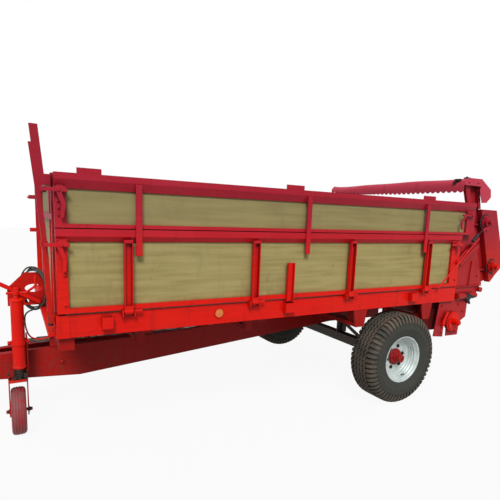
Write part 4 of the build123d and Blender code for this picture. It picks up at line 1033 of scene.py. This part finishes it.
def add_hood():
    bm = bmesh.new()
    columns, rows = SCALLOPS * SCALLOP_STEPS, len(HOOD_SECTION) - 1
    bmesh.ops.create_grid(bm, x_segments=columns, y_segments=rows, size=1)
    for vert in bm.verts:
        column = round((vert.co.x + 1) / 2 * columns)
        row = round((vert.co.y + 1) / 2 * rows)
        y = (column / columns * 2 - 1) * HOOD_HALF
        x, z = HOOD_SECTION[row]
        lifted = max(0.0, 0.2 - y) ** 1.5 * 0.042
        if row == 0:
            z += lifted - 0.020 * abs(math.sin(math.pi * column / SCALLOP_STEPS))
        elif row == 1:
            z += lifted * 0.6
        away = min(1.0, (HOOD_HALF - abs(y)) * 4)
        dent = 0.0035 * math.sin(3.1 * y + 0.8) + 0.0022 * math.sin(8.3 * y + 2.0 * x)
        vert.co = ahead(x - dent * away * (row < 5), y, z + dent * away * (row > 3))
    hood = finished("hood_sheet", bm, "chassis", HOOD_RED, 50)
    wall = hood.modifiers.new("wall", "SOLIDIFY")
    wall.thickness = HOOD_WALL
    wall.offset = -1
    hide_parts("hood")
    bm = bmesh.new()
    plate = [
        (-0.7850, 2.0720),
        (-0.7880, 2.1080),
        (-0.8260, 2.1440),
        (-1.0500, 2.1450),
        (-1.2120, 2.0490),
        (-1.2280, 1.9740),
        (-1.1620, 1.9140),
        (-1.0870, 1.9100),
        (-1.0860, 1.9190),
        (-1.0370, 2.0160),
        (-1.0340, 2.0400),
        (-1.0500, 2.0720),
    ]
    outline = [(AXLE_X + x, z) for x, z in plate]
    for side in (1, -1):
        face = side * (HOOD_HALF + END_PLATE)
        add_plate(bm, outline, side * HOOD_HALF, face)
        for x, z in ((-0.850, 2.100), (-0.990, 2.105)):
            add_bolt(bm, ahead(x, face, z), (0, side, 0), 0.008)
    finished("hood_ends", bm, "chassis", HOOD_RED)
    bm = bmesh.new()
    add_block(bm, ahead(-0.925, 0.935, 2.134), ahead(-0.868, 0.975, 2.154))
    add_rod(bm, ahead(-0.880, 0.955, 2.128), ahead(-0.896, 0.955, 2.158), 0.012, 12)
    add_block(bm, ahead(-0.806, 0.900, 2.112), ahead(-0.774, 0.960, 2.134))
    add_block(bm, ahead(-0.790, 0.893, 2.080), ahead(-0.768, 0.917, 2.114))
    finished("hood_buffers", bm, "chassis", BLACK)


add_hood()


# Spreading unit: greasy rings and bolts round the toothed castings, a near-black ring as painted
# shade behind the ratchet's teeth
BEATER_ENDS = ((-1.190, 1.720), (-1.385, 1.250))
CASTING_BOLT_CIRCLE = 0.057
CASTING_RING = [(0.000, 0.040), (0.000, 0.080), (0.003, 0.084), (0.006, 0.080), (0.006, 0.040)]
RATCHET_RING = [(0.000, 0.060), (0.000, 0.103), (0.002, 0.104), (0.002, 0.060)]


def add_ratchet_ring():
    # Near-black ring behind the ratchet's teeth: painted shade in the gaps between them.
    bm = bmesh.new()
    plate = outside("rear_post_left", -0.700, 0.640)
    centre = (AXLE_X - 0.820, plate.y, 0.690)
    add_ring(bm, RATCHET_RING, centre, (0, 1, 0), 48, closed=True)
    finished("ratchet_shade_ring", bm, "chassis", GREASE)


def add_casting_dress(side, word):
    node = "spreader_side_" + word
    bm = bmesh.new()
    for x, z in BEATER_ENDS:
        face = outside(node, x - 0.100, z, side)
        centre = (AXLE_X + x, face.y, z)
        add_ring(bm, CASTING_RING, centre, (0, side, 0), 40, closed=True)
    finished("casting_grease_" + word, bm, "chassis", GREASE)
    rows = []
    for x, z in BEATER_ENDS:
        for step in range(4):
            turn = math.tau * (step + 0.5) / 4
            across = CASTING_BOLT_CIRCLE * math.cos(turn)
            above = CASTING_BOLT_CIRCLE * math.sin(turn)
            rows.append((node, x + across, z + above, side))
    add_bolts("casting_bolts_" + word, "chassis", RED_SHEET, rows, 0.006)


add_ratchet_ring()
add_casting_dress(1, "left")
add_casting_dress(-1, "right")


# Guards under the floor beside the wheels, hung from the sills, in near-black red as painted
# shadow
GUARD = [
    (-0.060, 0.910),
    (-0.060, 0.868),
    (-0.420, 0.790),
    (-0.540, 0.600),
    (-0.690, 0.600),
    (-0.690, 0.910),
]
GUARD_Y = 0.928
GUARD_WALL = 0.004
for side, word in ((1, "left"), (-1, "right")):
    bm = bmesh.new()
    outline = [(AXLE_X + x, z) for x, z in GUARD]
    add_plate(bm, outline, side * GUARD_Y, side * (GUARD_Y + GUARD_WALL))
    finished("floor_guard_" + word, bm, "chassis", SHADOW_RED)


# Amber reflector on the left sill
REFLECTOR_RIM = [
    (0.000, 0.0370),
    (0.006, 0.0370),
    (0.009, 0.0345),
    (0.009, 0.0310),
    (0.000, 0.0310),
]
REFLECTOR_GLASS = [
    (0.001, 0.0005),
    (0.001, 0.0312),
    (0.007, 0.0312),
    (0.009, 0.0220),
    (0.010, 0.0100),
    (0.010, 0.0005),
]


def add_reflector():
    face = outside("sill_left", 1.851, 0.989)
    bm = bmesh.new()
    add_ring(bm, REFLECTOR_RIM, face, (0, 1, 0), 40, closed=True)
    finished("reflector_rim", bm, "chassis", RED)
    bm = bmesh.new()
    add_ring(bm, REFLECTOR_GLASS, face, (0, 1, 0), 40, closed=True)
    add_rod(bm, face + Vector((0, 0.009, 0)), face + Vector((0, 0.0125, 0)), 0.005, 12)
    finished("reflector_glass", bm, "chassis", LENS)


add_reflector()


# Rivets and bolts on both sides, (x, z) from the axle's middle on the ground
RIVET_SPOTS = [(2.900, 1.655), (2.900, 1.695), (2.900, 1.735)]
STUD_SPOTS = [(2.875, 1.119), (2.875, 1.300), (-0.745, 1.130), (-0.745, 1.330)]
POST_SPOTS = [
    (-0.830, 1.120),
    (-0.830, 1.320),
    (-0.830, 1.500),
    (-1.190, 1.148),
    (-0.660, 0.860),
    (-0.660, 0.740),
    (-0.920, 0.860),
    (-1.000, 0.780),
    (-0.680, 0.580),
    (-0.900, 0.570),
]
DRAWBAR_SPOTS = [(2.825, 0.466), (0.150, 0.690)]
DOME = [
    (0.000, 0.0005),
    (0.000, 0.0200),
    (0.005, 0.0195),
    (0.010, 0.0150),
    (0.013, 0.0080),
    (0.014, 0.0005),
]
for side, word in ((1, "left"), (-1, "right")):
    board_side = "side_" + word
    for name, node, body, slot, material, spots, size in (
        ("extension_rivets_", "side_extension_", board_side, "red_paint", RED, RIVET_SPOTS, 0.007),
        ("frame_studs_", "side_frame_", board_side, "red_paint", RED, STUD_SPOTS, 0.008),
        ("post_bolts_", "rear_post_", "chassis", "red_sheet", RED_SHEET, POST_SPOTS, 0.009),
    ):
        rows = [(node + word, x, z, side) for x, z in spots]
        add_bolts(name + word, body, material, rows, size)
bm = bmesh.new()
for side in (1, -1):
    for x, z in DRAWBAR_SPOTS:
        add_ring(bm, DOME, outside("chassis_frame", x, z, side), (0, side, 0), 32, closed=True)
finished("drawbar_bolts", bm, "chassis", SHADED_DARK_RED)


# Rods between points given from the axle's middle; each row is start, end, radius, sides, tip
def add_rods(name, body, material, rows):
    bm = bmesh.new()
    for start, end, *shape in rows:
        add_rod(bm, ahead(*start), ahead(*end), *shape)
    return finished(name, bm, body, material)


POST_STOP_Y = 0.970
add_rods(
    "post_stop",
    "chassis",
    BLACK,
    [
        ((2.962, POST_STOP_Y, 1.075), (2.955, POST_STOP_Y, 0.995), 0.0110, 16),
        ((2.955, POST_STOP_Y, 1.000), (2.954, POST_STOP_Y, 0.985), 0.0150, 16),
    ],
)

# Clamp of the control bar on the hose holder
bm = bmesh.new()
add_block(bm, ahead(3.112, 0.094, 1.040), ahead(3.150, 0.128, 1.094), 0.003)
add_bolt(bm, ahead(3.131, 0.128, 1.067), (0, 1, 0), 0.009)
finished("bar_clamp", bm, "chassis", RED)

# Strips that close the gap between the lower and the upper side frames
SEAL_Y = 1.022
SEAL_HALF = 0.008
for side, word in ((1, "left"), (-1, "right")):
    bm = bmesh.new()
    middle = side * SEAL_Y
    add_block(
        bm, ahead(-0.740, middle - SEAL_HALF, 1.568), ahead(2.870, middle + SEAL_HALF, 1.592)
    )
    finished("board_seal_" + word, bm, "side_" + word, SHADED_DARK_RED)

# Stay of the left side: turnbuckle, thin rod and clevis
STAY_Y = 1.071
add_rods(
    "stay_turnbuckle",
    "side_left",
    BLACK,
    [
        ((-0.925, STAY_Y, 1.520), (-1.000, STAY_Y, 1.588), 0.0150, 16),
        ((-0.995, STAY_Y, 1.583), (-1.075, STAY_Y, 1.640), 0.0055, 10),
    ],
)
bm = bmesh.new()
add_rod(bm, ahead(-1.068, STAY_Y, 1.636), ahead(-1.130, STAY_Y, 1.650), 0.0110, 12)
add_block(bm, ahead(-1.146, 1.060, 1.634), ahead(-1.122, 1.082, 1.668))
finished("stay_clevis", bm, "side_left", RED)

# Lever linkage on the left rear post, and the torn rubber sleeve of the brace
LEVER_Y = 1.002
LEVER_LINE = [(-0.806, 1.292), (-0.850, 1.345), (-0.905, 1.395), (-0.979, 1.440), (-1.048, 1.471)]
lever = [(x, LEVER_Y, z) for x, z in LEVER_LINE]
add_rods(
    "linkage_lever",
    "chassis",
    RED_SHEET,
    [(start, end, 0.0125, 12) for start, end in zip(lever, lever[1:])]
    + [
        (lever[0], (-0.870, LEVER_Y, 1.325), 0.0150, 12, 0.0100),
        ((-0.979, 0.980, 1.440), (-0.979, 1.024, 1.440), 0.0190, 16),
        ((-1.040, 0.980, 1.468), (-1.040, 1.020, 1.468), 0.0150, 16),
        ((-0.979, 1.004, 1.440), (-0.940, 1.004, 1.330), 0.0090, 12),
    ],
)
add_rods(
    "brace_sleeve",
    "chassis",
    BLACK,
    [
        ((-0.960, 1.020, 0.952), (-1.105, 1.020, 0.947), 0.0330, 24, 0.0300),
        ((-1.020, 1.006, 0.930), (-1.085, 1.004, 0.860), 0.0260, 16, 0.0120),
    ],
)


# Studio: pale floor and surround, one broad key lamp and an even sky
def studio():
    bm = bmesh.new()
    bmesh.ops.create_grid(bm, x_segments=1, y_segments=1, size=40)
    bmesh.ops.translate(bm, verts=bm.verts, vec=(0, 0, -0.001))
    mesh = bpy.data.meshes.new("studio_floor")
    bm.to_mesh(mesh)
    bm.free()
    floor = bpy.data.objects.new("studio_floor", mesh)
    bpy.context.scene.collection.objects.link(floor)
    p = Paint("studio_floor")
    speckle = p.noise(3.0, 2.0, 0.5)
    p.finish(Base_Color=p.mix(speckle, (0.22, 0.22, 0.22), (0.25, 0.25, 0.25)), Roughness=0.9)
    rays = p.tree.nodes.new("ShaderNodeLightPath")
    seen = (
        Value(p, rays.outputs["Is Camera Ray"])
        + Value(p, rays.outputs["Is Glossy Ray"])
        + Value(p, rays.outputs["Is Transmission Ray"])
    ).limit()
    glow = p.tree.nodes.new("ShaderNodeEmission")
    glow.inputs["Color"].default_value = (1, 1, 1, 1)
    glow.inputs["Strength"].default_value = 1.08
    mixed = p.tree.nodes.new("ShaderNodeMixShader")
    p.join(mixed.inputs[0], seen * 0.86)
    p.tree.links.new(p.shader.outputs[0], mixed.inputs[1])
    p.tree.links.new(glow.outputs[0], mixed.inputs[2])
    p.tree.links.new(mixed.outputs[0], p.tree.nodes["Material Output"].inputs[0])
    mesh.materials.append(p.material)
    world = bpy.data.worlds.new("studio")
    bpy.context.scene.world = world
    world.use_nodes = True
    tree = world.node_tree
    sky = tree.nodes["Background"]
    sky.inputs["Color"].default_value = (0.93, 0.96, 1.0, 1)
    sky.inputs["Strength"].default_value = 0.50
    white = tree.nodes.new("ShaderNodeBackground")
    white.inputs["Color"].default_value = (1, 1, 1, 1)
    rays = tree.nodes.new("ShaderNodeLightPath")
    either = tree.nodes.new("ShaderNodeMath")
    either.operation = "MAXIMUM"
    tree.links.new(rays.outputs["Is Camera Ray"], either.inputs[0])
    tree.links.new(rays.outputs["Is Transmission Ray"], either.inputs[1])
    mixed = tree.nodes.new("ShaderNodeMixShader")
    tree.links.new(either.outputs[0], mixed.inputs[0])
    tree.links.new(sky.outputs[0], mixed.inputs[1])
    tree.links.new(white.outputs[0], mixed.inputs[2])
    tree.links.new(mixed.outputs[0], tree.nodes["World Output"].inputs[0])
    lamp = bpy.data.lights.new("key_lamp", "SUN")
    lamp.energy = 2.3
    lamp.angle = math.radians(20)
    key = bpy.data.objects.new("key_lamp", lamp)
    key.rotation_euler = Vector((-0.45, -1.0, -1.05)).to_track_quat("-Z", "Y").to_euler()
    bpy.context.scene.collection.objects.link(key)
    bpy.context.scene.view_settings.view_transform = "Standard"


place_camera()
studio()
